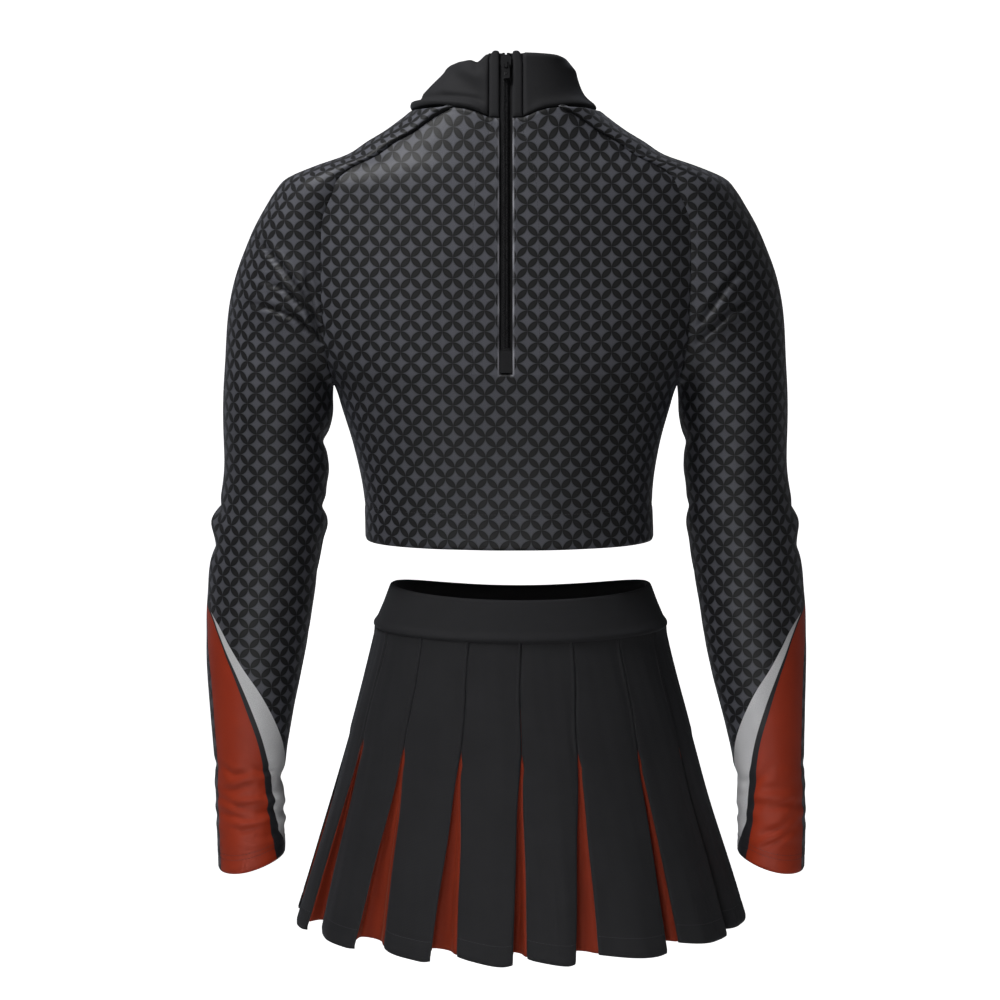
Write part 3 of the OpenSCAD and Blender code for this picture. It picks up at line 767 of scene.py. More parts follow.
SLEEVE_LEANS = [(down(0), 11.5), (down(0.17), 6.7), (down(0.4), 7.0), (down(0.77), 6.4), (down(1), 5.2)]
SLEEVE_WIDTHS = [
    (down(0), UPPER_ARM_W * 0.562), (down(0.17), UPPER_ARM_W * 0.49), (down(0.27), UPPER_ARM_W * 0.52),
    (down(0.47), UPPER_ARM_W * 0.495), (down(0.57), mix(CUFF_W, UPPER_ARM_W, 0.74) / 2),
    (down(0.67), mix(CUFF_W, UPPER_ARM_W, 0.38) / 2), (down(0.77), CUFF_W * 0.525), (down(1), CUFF_W / 2),
]
SLEEVE_DEPTHS = [
    (down(0), UPPER_ARM_W * 0.62), (down(0.17), UPPER_ARM_W * 0.545), (down(0.4), UPPER_ARM_W * 0.5),
    (down(0.57), UPPER_ARM_W * 0.435), (down(0.77), CUFF_W * 0.56), (down(1), CUFF_W * 0.54),
]
ARM_OUTLINE = [
    (HINGE_Z - 54, HINGE_X + 59.4), (HINGE_Z - 12, HINGE_X + 57.6), (HINGE_Z + 8, HINGE_X + 54.7),
    (HINGE_Z + 29, HINGE_X + 49.7), (HINGE_Z + 50, HINGE_X + 42), (HINGE_Z + 70.5, HINGE_X + 33),
    (HINGE_Z + 91, HINGE_X + 21), (HINGE_Z + 101.5, HINGE_X + 14), (PIT_Z * 0.244, REACH + 1),
    (PIT_Z * 0.20, mix(NECK_W / 2, REACH, 0.782)), (PIT_Z * 0.16, mix(NECK_W / 2, REACH, 0.528)),
    (PIT_Z * 0.113, mix(NECK_W / 2, REACH, 0.366)), (PIT_Z * 0.071, mix(NECK_W / 2, REACH, 0.213)),
    (0, NECK_W / 2),
]
SADDLE = 0.68


def sleeve_point(r, around):
    """Points of the tube. around is in degrees: 0 on the outside, 180 against the body, -90 at the back."""
    r, around = np.broadcast_arrays(np.asarray(r, float), np.radians(around))
    a = np.radians(smooth(SLEEVE_LEANS, r)) + smooth(SLEEVE_WIDTHS, r) / r * np.cos(around)
    return np.stack([HINGE_X + r * np.sin(a), smooth(SLEEVE_DEPTHS, r) * np.sin(around),
                     HINGE_Z - r * np.cos(a)], -1)


def head_outer_z(u):
    return seam_z(u) + (HINGE_Z - PIT_Z - 49.5) * np.maximum(0, 1 - u / SADDLE) ** 2


def head_point(u, t):
    """Points of the sleeve's head. u climbs the raglan seam and t runs from its back to its front."""
    u, t = np.broadcast_arrays(np.asarray(u, float), np.asarray(t, float))
    z = seam_z(u)
    side = side_at(smooth(SEAM_SHARES, z / PIT_Z))
    back_end, front_end = body_point(z, side), body_point(z, 180 - side)
    half = (front_end[..., 1] - back_end[..., 1]) / 2
    middle_y = (front_end[..., 1] + back_end[..., 1]) / 2
    first = smooth(SLEEVE_DEPTHS, RING_R)
    most = np.maximum(half * 1.03, first + 5 * np.sin(math.pi * u))
    most = mix(most, half * 1.03, step(0.3, 0.75, u))
    turn = math.pi - np.arcsin(np.clip(half / most, 0, 1))
    s = (np.cos(turn * t) - np.cos(turn)) / (1 - np.cos(turn))
    x = mix(back_end[..., 0], smooth(ARM_OUTLINE, head_outer_z(u)), s)
    y = middle_y + most * np.sin(turn * t)
    return np.stack([x, y, mix(z, head_outer_z(u), s) + dip(y, z)], -1)


def cuff_rise(around):
    """The cuff is cut square to the forearm, so it ends higher on the inside."""
    return 3 + 19 * ((1 - np.cos(np.radians(around))) / 2) ** 1.5


TUBE_ROWS = 205
HEAD_ROWS = HIGH_ROWS
AROUND = 140
t_cols = 2 * spaced(AROUND + 1, 0.95, 0.95) - 1
cuff_r = down(1) - cuff_rise(180 * t_cols)
climb = np.linspace(0, 1, TUBE_ROWS)[:-1, None]
tube = sleeve_point(cuff_r[None, :] + (RING_R - cuff_r[None, :]) * climb, 180 * t_cols[None, :])
u_rows = np.linspace(0, 1, HEAD_ROWS)
head = head_point(u_rows[:, None], t_cols[None, :])
pull = ((1 - u_rows) ** 6)[:, None, None]
head = head + pull * (sleeve_point(RING_R, 180 * t_cols)[None] - head_point(0, t_cols)[None])
arm = np.concatenate([tube, head], 0)

# The tube and the head meet at a slight corner, which a few passes of averaging round off.
ring_row = TUBE_ROWS - 1
near = hump(np.arange(len(arm)), ring_row, 24.0)[:, None, None]
free = step(0, 0.16, 1 - np.abs(t_cols))[None, :, None]
for _ in range(260):
    average = arm.copy()
    average[1:-1] = (arm[:-2] + arm[2:]) / 2
    arm = arm + 0.5 * near * free * (average - arm)
print("sleeve grid", arm.shape)

# %% [markdown]
# The sleeve's colours are dyed into one cloth, so they are edges drawn on it, not separate pieces.
# Each edge is a curve of turn against height, and every point stores how far inside each edge it lies.

# %% Flash edges and folds
ORANGE_EDGE = [(-660, 145), (-625, 131), (-590, 122), (-559, 111), (-520, 88), (-482, 66), (-444, 38),
               (-430, 14), (-426, 0)]
WHITE_LOW_EDGE = [(-665, 192), (-645, 172), (-625, 147), (-590, 136), (-559, 120), (-520, 95), (-482, 70),
                  (-444, 41), (-434, 28)]
WHITE_HIGH_EDGE = [(-600, 205), (-575, 178), (-559, 160), (-540, 139), (-520, 119), (-501, 101), (-482, 82),
                   (-463, 65), (-444, 46), (-434, 28)]
STRIP_EDGE = [(-660, 30), (-500, 30), (-470, 23), (-440, 12), (-426, 2)]


def edges_on(g):
    """Millimetres inside each dyed edge, for every point."""
    turn = np.abs(np.degrees(np.pi * t_cols))[None, :]
    z = g[..., 2]
    mm_per_degree = 36 * math.pi / 180
    below = -426 - z
    orange = (smooth(ORANGE_EDGE, z) - turn) * mm_per_degree
    stripe = (smooth(WHITE_LOW_EDGE, z) - turn) * mm_per_degree
    white = (smooth(WHITE_HIGH_EDGE, z) - turn) * mm_per_degree
    strip = (smooth(STRIP_EDGE, z) - turn) * mm_per_degree
    return {"orange_in": np.minimum(orange, below), "stripe_in": np.minimum(stripe, below),
            "white_in": np.minimum(white, below - 8), "strip_in": strip}


def pinch(g, path, depth, width, facing=-1):
    """A sharp crease along (across, up) points, on the back (-1) or front (1) of a sleeve."""
    path = np.array(path, float)
    place = g[..., [0, 2]]
    runs = np.linalg.norm(np.diff(path, axis=0), axis=1)
    gap = np.full(g.shape[:2], 1e6)
    along = np.zeros(g.shape[:2])
    for a, b, before, run in zip(path, path[1:], np.cumsum(runs) - runs, runs):
        s = np.clip(((place - a) @ (b - a)) / run ** 2, 0, 1)
        away = np.linalg.norm(place - a - s[..., None] * (b - a), axis=-1)
        along = np.where(away < gap, (before + s * run) / runs.sum(), along)
        gap = np.minimum(away, gap)
    fades = np.sin(math.pi * np.clip(0.03 + 0.85 * along, 0, 1)) ** 0.8
    shape = hump(gap, 0, width) - 0.5 * hump(gap, 2.2 * width, 1.1 * width)
    return depth * fades * shape * step(-2, 14, facing * g[..., 1])


LEFT_CREASES = [
    ([(216, -105), (192, -131), (171, -158), (157, -190)], 4.0, 2.0),
    ([(213, -140), (188, -152), (168, -170), (156, -196)], 3.6, 1.9),
    ([(224, -163), (202, -167), (181, -174), (158, -196)], 4.0, 2.0),
    ([(170, -126), (168, -146), (160, -176)], 2.4, 1.8),
]
RIGHT_CREASES = [
    ([(206, -128), (186, -150), (165, -180)], 2.4, 2.6),
    ([(216, -158), (190, -171), (163, -196)], 2.8, 2.6),
]
LEFT_CUFF_FOLDS = [
    ([(253, -570), (244, -577), (230, -575)], 1.5, 2.4), ([(253, -592), (241, -590), (226, -585)], 1.3, 2.2),
    ([(253, -601), (238, -605), (216, -603)], 1.7, 2.2), ([(252, -613), (237, -616), (220, -617)], 1.5, 2.0),
    ([(251, -624), (236, -627), (222, -624)], 1.2, 2.2), ([(234, -566), (216, -574), (200, -572)], 0.9, 2.6),
]
RIGHT_CUFF_FOLDS = [
    ([(251, -612), (236, -624), (216, -634)], 1.3, 2.8), ([(250, -626), (234, -636), (222, -642)], 1.1, 2.4),
    ([(232, -566), (216, -582), (204, -600)], 1.1, 3.4), ([(251, -598), (240, -604), (228, -606)], 0.9, 2.4),
]


# Bumps and dips at the elbow: how far out, share of the way around to the inside, height, how tall and wide.
ELBOW = [(3.6, 0, -356, 9, 0.16), (-2.0, 0, -342, 6, 0.2), (-3.0, 1, -286, 7, 0.3), (2.0, 1, -262, 14, 0.3),
         (2.0, 1, -312, 13, 0.3), (-2.6, 1, -343, 6, 0.3), (-2.0, 0, -376, 7, 0.2), (1.5, 1, -360, 9, 0.3)]


def sleeve_folds(g, seed, bunched):
    """Bunching above the cuff, drags at the elbow and a soft unevenness all over."""
    z = g[..., 2]
    turn = math.pi * t_cols[None, :]
    bunch = hump(z, -608, 30)
    slant = 4.2 * np.sin(turn + seed) + 2.0 * np.sin(2 * turn + 2 * seed)
    wave = np.sin(2 * math.pi * (z + slant) / 19 + seed)
    wave = wave + 0.5 * np.sin(2 * math.pi * (z - 1.6 * slant) / 12.5 - seed)
    out = bunched * bunch * wave * (0.65 + 0.35 * np.sin(1.5 * turn - seed))
    inner = hump(np.abs(t_cols)[None, :], 1, 0.2)
    out = out - 3.4 * bunched * hump(z, -586, 6) * inner
    outer = hump(t_cols[None, :], 0, 0.2)
    out = out - 1.6 * bunched * hump(z, -573, 5) * outer
    for side, where, height, tall, wide in ELBOW:
        at = hump(np.abs(t_cols)[None, :], where, wide)
        out = out + side * bunched * at * hump(z - 7 * np.sin(2 * turn), height, tall)
    elbow = hump(z, -400, 75)
    out = out + 1.0 * elbow * ripple(z / 17 + 1.5 * turn, 2 * turn, seed)
    return out + 0.6 * ripple(z / 42, 1.5 * turn, seed + 1)


BLEND_RUN = (0.082, -0.057)             # outward and up from the armpit, in metres


def make_sleeve(name, sign, seed, creases, cuff_folds, bunched):
    g = arm.copy()
    n = grid_normals(g)
    back_d, front_d, low_d, high_d = from_edges(g)
    is_head = step(ring_row - 0.5, ring_row + 3, np.arange(len(g)))[:, None]
    depth = is_head * tuck(np.minimum(back_d, front_d), 0.12, 1.0, 0.08) + tuck(high_d, 0.8, 2.0, 0.2)
    depth = depth + allowance(low_d.shape, top=True)
    depth = depth + 0.9 * lip(low_d, 1.8)
    depth = depth + 0.3 * hump(low_d, 12, 1.4) + 0.3 * hump(low_d, 18, 1.4)
    # Mask of painted shade: how far each point lies in a deep crease, where the sleeve's colour is darkened.
    crease_shade = np.zeros(g.shape[:2])
    for path, deep, wide in creases + cuff_folds:
        shape = pinch(g, path, deep, wide) + 0.7 * pinch(g, path, deep, wide, facing=1)
        depth = depth + shape
        crease_shade = crease_shade + np.clip(shape / 2.6, 0, 1) * (deep > 1.9)
    hold = 1 - is_head * (1 - step(0, 14, np.minimum(back_d, front_d)))
    depth = depth - hold * sleeve_folds(g, seed, bunched)
    fields = {**edges_on(g), "crease_shade": np.clip(crease_shade, 0, 1)}
    middle = AROUND // 4
    across = run_along(g, 1)
    onward = g[ring_row, middle, 2] + run_along(g, 0)[:, middle:middle + 1] \
        - run_along(g, 0)[ring_row, middle]
    up_cloth = mix(g[..., 2], onward, step(ring_row, ring_row + 50, np.arange(len(g)))[:, None])
    uv = np.stack([across - across[:, middle:middle + 1] + g[:, middle:middle + 1, 0], up_cloth], -1) * MM
    shaped = press(g, n, depth)
    for edge_col, inner in ((0, 4), (-1, -5)):
        onward = g[:, edge_col] - g[:, inner]
        square = np.cross(np.gradient(g[:, edge_col], axis=0), n[:, edge_col])
        square = square * np.sign((square * onward).sum(-1, keepdims=True))
        onward = square / np.linalg.norm(square, axis=-1, keepdims=True)
        shaped[:, edge_col] += is_head * (3.0 * onward - 0.55 * n[:, edge_col])
    shaped[:ring_row, -1] = shaped[:ring_row, 0]
    shaped, flat = shaped * [sign, 1, 1], g * [sign, 1, 1]
    if sign < 0:
        shaped, flat, uv = shaped[:, ::-1], flat[:, ::-1], uv[:, ::-1]
        fields = {key: value[:, ::-1] for key, value in fields.items()}
    shaped = worn(shaped, 4.8, 430, 640)
    obj = sheet_mesh(name, shaped, uv, closed=True, fields=fields, flat_from=flat)
    side = "right" if sign > 0 else "left"
    for height in (12, 18):
        sew(f"{side}_arm", shaped, row=row_at(g, height))
    start = Vector((sign * CHEST_W / 2, 0, PIT_Z)) * MM
    toward = Vector((sign * BLEND_RUN[0], 0, BLEND_RUN[1]))
    finish_cloth(obj, None, [f"{side}_sleeve_head", f"{side}_sleeve"], sleeve_cloth,
                 blend=("top", f"{side}_arm", start, start + toward))
    return obj


left_sleeve = make_sleeve("left_sleeve_cloth", -1, 0.8, LEFT_CREASES, LEFT_CUFF_FOLDS, 1.3)
make_sleeve("right_sleeve_cloth", 1, 2.6, RIGHT_CREASES, RIGHT_CUFF_FOLDS, 0.8)
print("sleeves", len(left_sleeve.data.polygons), "faces each")

# %% [markdown]
# ## Collar
# The mock collar is a band folded at its top edge, open at the back. Beside the zip each end is
# turned back into a soft strip.

# %% Collar
COLLAR_WIDTHS = [(0, NECK_W / 2 - 1), (0.08, NECK_W * 0.475), (0.25, NECK_W * 0.428), (0.5, NECK_W * 0.397),
                 (0.8, NECK_W * 0.378), (1, NECK_W * 0.375)]
COLLAR_FRONTS = [(0, NECK_FRONT), (0.3, NECK_FRONT * 0.9), (1, NECK_FRONT * 0.83)]
COLLAR_LEAN = 0.12
FACING_W = 8.4


def collar_point(h, side):
    h, side = np.broadcast_arrays(np.asarray(h, float), np.radians(side))
    back_z = mix(-BACK_DIP, COLLAR_H, h)
    w = smooth(COLLAR_WIDTHS, h)
    d = np.where(np.cos(side) > 0, zip_line(back_z), smooth(COLLAR_FRONTS, h))
    x = w * power(np.sin(side), 2 / SQUARE)
    y = -d * power(np.cos(side), 2 / SQUARE)
    top = COLLAR_H - COLLAR_LEAN * (y + zip_line(COLLAR_H))
    return np.stack([x, y, mix(dip(y, 0), top, h)], -1)


def collar_band(edge_x, cols, rows=30):
    h = np.linspace(0, 1, rows)
    a = side_at(edge_x / smooth(COLLAR_WIDTHS, h))
    turn = a[:, None] + (360 - 2 * a)[:, None] * np.linspace(0, 1, cols)[None, :]
    return collar_point(h[:, None], turn)


def slump(g, h):
    """The collar's set: its left half has sunk and leans in, and its seam waves with the neckline."""
    g = g.copy()
    x, y = g[..., 0].copy(), g[..., 1]
    left = step(12, 26, -x)
    right = step(40, 60, x)
    g[..., 0] += left * smooth([(0, -3.5), (0.25, -4), (0.6, 2.5), (1, 9)], h) * step(20, 55, -x)
    g[..., 0] -= right * 5 * step(0.75, 1.0, h)
    g[..., 2] += neck_wave(x, y) * (1 - h) ** 1.3
    sunk = left * 5.2 + 2.8 * hump(x, -24, 6)
    g[..., 2] -= (sunk * step(0.45, 1.0, h) + 6 * step(10, 40, y) * h)
    return g


rows = np.linspace(0, 1, 34)[:, None]
band = collar_band(ZIP_WINDOW / 2 + FACING_W, 200, 34)
n = grid_normals(band)
left_d, right_d, low_d, high_d = from_edges(band)
x, y, z = band[..., 0], band[..., 1], band[..., 2]
on_left = step(14, 26, -x) * step(-10, 10, -y)
roll = 2.4 * on_left * hump(low_d, 5, 3.4) - 2.2 * on_left * hump(low_d, 11.5, 2.8)
drag = on_left * step(8, 20, low_d) * step(-58, -44, x)
slant = 1.5 * drag * np.sin((0.8 * x + z + 3 * np.sin(x / 9)) / 5.2)
on_right = step(18, 30, x) * step(-10, 10, -y)
roll = roll + 0.8 * on_right * hump(low_d, 5, 4)
depth = tuck(low_d, 1.0, 2.0, 0.3) + 1.6 * lip(high_d, 3.4)
depth = depth + tuck(np.minimum(left_d, right_d), 0.4, 1.6) - roll - slant - 0.4 * ripple(x / 16, z / 14, 0.3)
depth = depth + allowance(low_d.shape, left=True, right=True, bottom=True, depth=1.8)
shaped = slump(press(band, n, depth), rows)
collar = sheet_mesh("collar_outer_cloth", shaped, cloth_uv(band, 100), flat_from=band)
finish_cloth(collar, "top", ["collar_outer"], black_knit)

lining = collar_band(16.5, 160, 34)
high_d = from_edges(lining)[3]
lining = press(lining, grid_normals(lining), 3.4 - 1.6 * lip(high_d, 3.0))
collar_lining = sheet_mesh("collar_lining_cloth", slump(lining, rows), cloth_uv(lining, 80), flat_from=lining)
finish_cloth(collar_lining, "top", ["collar_lining"], black_knit)


# %% Strips beside the zip
def make_facing(name, sign, node):
    h = np.linspace(0, 1, 40)
    s = np.linspace(0, 1, 14)
    w = smooth(COLLAR_WIDTHS, h)[:, None]
    g = collar_point(h[:, None], side_at((ZIP_WINDOW / 2 + FACING_W * s[None, :]) / w))
    n = grid_normals(g)
    pillow = 1.1 * np.clip(1 - (2 * s - 1) ** 4, 0, 1)[None, :] * step(0, 0.06, h)[:, None]
    shaped = press(g, n, 0.8 - pillow)
    shaped[..., 2] += (1.4 - 3.5 * np.abs(2 * s - 0.7)[None, :] ** 3) * step(0.8, 1.0, h)[:, None]
    shaped[..., 2] -= 3.2 * (1 - h)[:, None] ** 1.3
    uv = cloth_uv(g, 7)
    if sign < 0:
        shaped, g, uv = shaped[:, ::-1] * [-1, 1, 1], g[:, ::-1] * [-1, 1, 1], uv[:, ::-1]
    obj = sheet_mesh(name, shaped, uv, flat_from=g)
    finish_cloth(obj, "top", [node], black_knit)


make_facing("left_facing_strip", -1, "left_collar_facing")
make_facing("right_facing_strip", 1, "right_collar_facing")
print("collar done")

# %% [markdown]
# ## Skirt
# Sixteen black panels are joined down to the hip and hang free below it. Each one turns like a blade:
# its right edge stands proud over the orange insert, which is sewn to the left edge of the next panel.

# %% The skirt's curves
SKIRT_WIDTHS = [
    (0, WAIST_W / 2), (0.05, WAIST_W * 0.522), (0.115, WAIST_W * 0.557), (0.155, WAIST_W * 0.563),
    (0.26, mix(WAIST_W, SKIRT_HEM_W, 0.266) / 2), (0.43, mix(WAIST_W, SKIRT_HEM_W, 0.43) / 2),
    (0.62, mix(WAIST_W, SKIRT_HEM_W, 0.61) / 2), (0.81, mix(WAIST_W, SKIRT_HEM_W, 0.81) / 2),
    (1, SKIRT_HEM_W / 2),
]


SKIRT_SIDE = 13.0
WAIST_DIP = 27.0


def skirt_down(z):
    return (WAIST_Z - z) / SKIRT_LEN


def skirt_point(z, turn, puff=0.0):
    z, turn, puff = np.broadcast_arrays(np.asarray(z, float), np.radians(turn), np.asarray(puff, float))
    w = smooth(SKIRT_WIDTHS, skirt_down(z))
    d = w * mix(0.755, 0.81, skirt_down(z))
    x = (w + puff) * np.sin(turn)
    y = -(d + puff) * np.cos(turn)
    drop = np.where(y < 0, 0, -WAIST_DIP * (y / (WAIST_W / 2)) ** 2 * np.maximum(0, 1 - skirt_down(z) / 0.5))
    return np.stack([x + SKIRT_SIDE, y, z + drop], -1)


def even_turn(turn):
    return turn - 3.2 * math.sin(2 * math.radians(turn))


def opened(z):
    return np.maximum(0, (RELEASE_Z - z) / (RELEASE_Z - SKIRT_HEM_Z))


def half_gap(z):
    """Half the gap between two panels at a height, as a turn in degrees."""
    return np.degrees(opened(z) ** 0.9 * PLEAT_GAP / 2 / smooth(SKIRT_WIDTHS, skirt_down(z)))


# %% Panels and inserts
PANEL_COLS = 34
PANEL_ROWS = 100
INSERT_COLS = 30
LEAN_OUT = 3.5
LEAN_IN = 5.0
# How far the left and right edges of each pleat sway at the hem, for a skirt that hangs freely.
SWAY = {1: (5, -8), 2: (-12, -13), 3: (2, 0), 4: (9, -12), 5: (3, 5), 6: (-3, 2), 7: (4, -3),
        8: (-5, 2), 9: (2, 6), 10: (-4, -6), 11: (3, 1), 12: (4, -2), 13: (-9, -31), 14: (-6, -17),
        15: (-2, 1), 16: (4, 0)}


def edge_turns(k, z):
    """The turns of pleat k's two edges: the right edge of one panel and the left edge of the next."""
    k = (k - 1) % PANELS + 1
    per_mm = np.degrees(1 / smooth(SKIRT_WIDTHS, skirt_down(z)))
    o = opened(z)
    early = 0.3 * sum(SWAY[k]) / 2 * step(0.15, 0.45, skirt_down(z)) + 0.7 * np.sin(z / 17 + 2 * k) * (1 - o)
    middle = even_turn(360 / PANELS * (k - 1)) + early * per_mm * np.minimum(1, 4 * skirt_down(z))
    late = 0.3 * sum(SWAY[k]) / 2
    gap = half_gap(z)
    return (middle - gap + (SWAY[k][0] - late) * per_mm * o ** 1.2,
            middle + gap + (SWAY[k][1] - late) * per_mm * o ** 1.2)


def panel_puff(k, s, z):
    """How far a panel stands out: each one leans like a blade, out at its right edge and in at its left."""
    k = (k - 1) % PANELS + 1
    o = opened(z)
    swing = 0.8 + 0.35 * math.sin(2.1 * k)
    blade = o * (-LEAN_IN + (LEAN_IN + LEAN_OUT) * s ** 0.8) + 2.6 * swing * o * np.sin(math.pi * s)
    return blade + 1.0 * o * np.sin(2.3 * math.pi * s + 1.7 * k) * (0.3 + o)


def make_panel(k):
    s = spaced(PANEL_COLS)[None, :]
    h = np.linspace(0, 1, PANEL_ROWS)[:, None]
    z = mix(SKIRT_HEM_Z, BAND_Z + 3, h)
    raised = 5.0 * (1 - s) ** 2.2 * (1 - h) ** 3 + 1.6 * np.clip((s - 0.8) / 0.2, 0, 1) ** 2 * (1 - h) ** 5
    first = edge_turns(k, z)[1]
    last = edge_turns(k + 1, z)[0] + (360 if k == PANELS else 0)
    o = opened(z)
    dimple = -1.1 * hump(z - RELEASE_Z, -9, 11) * hump(s, 0, 0.12)
    rounding = 1.1 * step(0.0, 0.25, h) * step(1.0, 0.9, h) * hump(z - RELEASE_Z, 18, 30) \
        * np.sin(math.pi * s)
    g = skirt_point(z + raised, mix(first, last, s), panel_puff(k, s, z) + dimple + rounding)
    n = grid_normals(g)
    left_d, right_d, low_d, high_d = from_edges(g)
    sewn = step(0.05, 0.0, o)
    depth = sewn * (tuck(left_d, 0.9, 1.6) + tuck(right_d, 0.5, 0.9, 0.95))
    depth = depth + (1 - sewn) * (1.3 * lip(left_d, 3.0) + 0.9 * lip(right_d, 1.6))
    depth = depth + sewn * allowance(left_d.shape, left=True, right=True, depth=1.6)
    depth = depth + allowance(left_d.shape, top=True, depth=1.6)
    depth = depth + 0.35 * hump(low_d, 17, 1.5) + 0.8 * lip(low_d, 1.8)
    depth = depth - 0.55 * ripple(9 * s + k, z / 38, 0.9 * k) * step(0, 30, high_d)
    shaped = press(g, n, depth)
    name = f"panel_cloth_{k:02d}"
    obj = sheet_mesh(name, shaped, cloth_uv(g, PANEL_COLS // 2) + [0.13 * k, 0], flat_from=g)
    finish_cloth(obj, "skirt", [f"skirt_panel_{k:02d}"], black_knit)
    sew("skirt", shaped, row=row_at(g, 17), part=slice(3, -3), lift=0.1)


def make_insert(k):
    s = np.linspace(0, 1, INSERT_COLS)[None, :]
    h = np.linspace(0, 1, 72)[:, None]
    z = mix(SKIRT_HEM_Z + 5.5, RELEASE_Z + 3, h)
    o = opened(z)
    first, last = edge_turns(k, z)
    per_mm = np.degrees(1 / smooth(SKIRT_WIDTHS, skirt_down(z)))
    open_now = np.minimum(1, 4 * o)
    across = smooth([(0, 0), (0.07, 0), (0.3, 0), (0.55, 0.35), (0.86, 0.9), (0.94, 1), (1, 1)], s)
    beyond = smooth([(0, -3.0), (0.08, 0.2), (0.25, -5.5), (0.4, -5.0), (0.7, -1), (0.86, -0.8), (0.93, 0.3),
                     (1, 5)], s)
    turn = mix(first, last, across) + beyond * per_mm * open_now
    deep = smooth([(0, 0.0), (0.07, -0.6), (0.25, -8.5), (0.45, -11.5), (0.68, -9.5), (0.87, -1.6),
                   (0.93, -0.6), (1, 0.2)], s)
    turned = smooth([(0, 0), (0.1, 0), (0.3, 0.5), (0.86, 1), (1, 1)], s)
    rim = mix(panel_puff(k - 1, 1.0, z), panel_puff(k, 0.0, z), turned)
    inner = np.sin(math.pi * np.clip(s, 0, 1)) ** 2
    puff = -1.25 + rim + o * deep + 0.9 * o * inner * np.sin(5 * s + 1.3 * k + z / 40)
    g = skirt_point(z + 3.0 * (1 - s) * (1 - h) ** 3, turn, puff)
    low_d = from_edges(g)[2]
    depth = 0.5 * hump(low_d, 15, 1.5) + 0.8 * lip(low_d, 1.8)
    shaped = press(g, grid_normals(g), depth)
    name = f"insert_cloth_{k:02d}"
    obj = sheet_mesh(name, shaped, cloth_uv(g, 9) + [0.07 * k, 0], flat_from=g, thickness=0.8)
    finish_cloth(obj, "skirt", [f"pleat_insert_{k:02d}"], orange_knit)


for k in range(1, PANELS + 1):
    make_panel(k)
    make_insert(k)
print("skirt panels and inserts", PANELS)


# %% Waistband
def make_band(name, node, low, high, inward, thickness, shape, material, cols=240, rows=30):
    h = np.linspace(0, 1, rows)[:, None]
    turn = np.linspace(0, 360, cols + 1)[None, :]
    slack_back = 2.6 * h ** 2 * np.maximum(0, np.cos(np.radians(turn))) ** 2
    g = skirt_point(mix(low, high, h) - slack_back, turn)
    n = grid_normals(g[:, :-1], closed=True)
    n = np.concatenate([n, n[:, :1]], 1)
    g = press(g, n, inward)
    shaped = press(g, n, shape(h, turn))
    shaped[:, -1] = shaped[:, 0]
    obj = sheet_mesh(name, shaped, cloth_uv(g, cols // 2), closed=True, thickness=thickness, flat_from=g)
    finish_cloth(obj, "skirt", [node], material)
    return obj


def outer_shape(h, turn):
    bulge = 1.9 * hump(h, 0.1, 0.1) + 0.7 * np.sin(math.pi * h)
    curl = 3.4 * lip(h, 0.06) + 1.3 * np.clip((h - 0.95) / 0.05, 0, 1) ** 2
    return curl - bulge - 0.25 * ripple(np.radians(turn) * 5, h * 4, 0.6)


def lining_shape(h, turn):
    seam = 1.6 * hump(turn, 182, 0.8) - 0.6 * hump(turn, 184.4, 1.2)
    return seam - 1.3 * np.clip((h - 0.95) / 0.05, 0, 1) ** 2


def elastic_shape(h, turn):
    return 0.15 * np.sin(h * 60) + 0 * turn


make_band("waistband_cloth", "waistband_outer", BAND_Z - 4, WAIST_Z, 0.0, 1.0, outer_shape, black_knit)
make_band("waistband_lining_cloth", "waistband_lining", BAND_Z + 0.4, WAIST_Z - 0.4, 3.6, 1.0, lining_shape,
          black_knit, cols=360)
make_band("waistband_elastic_band", "waistband_elastic", BAND_Z + 3, WAIST_Z - 3, 2.2, 0.9, elastic_shape,
          elastic_white)
print("waistband done")

# %% [markdown]
# ## The zip
# A coil zip is two nylon spirals sewn to woven tapes. Each turn of a spiral shows as a small rounded
# tooth, and the teeth of the two sides lie in each other's gaps. The solids of the tapes, stops, slider,
# pull tab and patch already have their real shape, so they only get a finish. The teeth repeat along a
# straight line, so a node tree sets one rounded tooth on each point of a line.

# %% The tree for rows of teeth
def new_tree(name, inputs):
    tree = bpy.data.node_groups.new(name, "GeometryNodeTree")
    tree.interface.new_socket(name="Geometry", in_out="INPUT", socket_type="NodeSocketGeometry")
    for label, kind, value in inputs:
        socket = tree.interface.new_socket(name=label, in_out="INPUT", socket_type=kind)
        if value is not None:
            socket.default_value = value
    tree.interface.new_socket(name="Geometry", in_out="OUTPUT", socket_type="NodeSocketGeometry")
    return tree, tree.nodes.new("NodeGroupInput"), tree.nodes.new("NodeGroupOutput")


def close_tree(tree, into, result, out):
    real = tree.nodes.new("GeometryNodeRealizeInstances")
    finish = tree.nodes.new("GeometryNodeSetMaterial")
    tree.links.new(result, real.inputs[0])
    tree.links.new(real.outputs[0], finish.inputs["Geometry"])
    tree.links.new(into.outputs["Material"], finish.inputs["Material"])
    tree.links.new(finish.outputs[0], out.inputs[0])


def grown(name, mesh, tree, values):
    """Runs a tree on a mesh and keeps the result as a plain mesh."""
    source = add_object(name + "_source", mesh)
    modifier = source.modifiers.new("tree", "NODES")
    modifier.node_group = tree
    for item in tree.interface.items_tree:
        if item.item_type == "SOCKET" and item.in_out == "INPUT" and item.name in values:
            modifier[item.identifier] = values[item.name]
    bpy.context.view_layer.update()
    evaluated = source.evaluated_get(bpy.context.evaluated_depsgraph_get())
    result = bpy.data.meshes.new_from_object(evaluated)
    result.name = name
    bpy.data.objects.remove(source)
    obj = bpy.data.objects.new(name, result)
    bpy.context.scene.collection.objects.link(obj)
    for face in result.polygons:
        face.use_smooth = True
    return obj


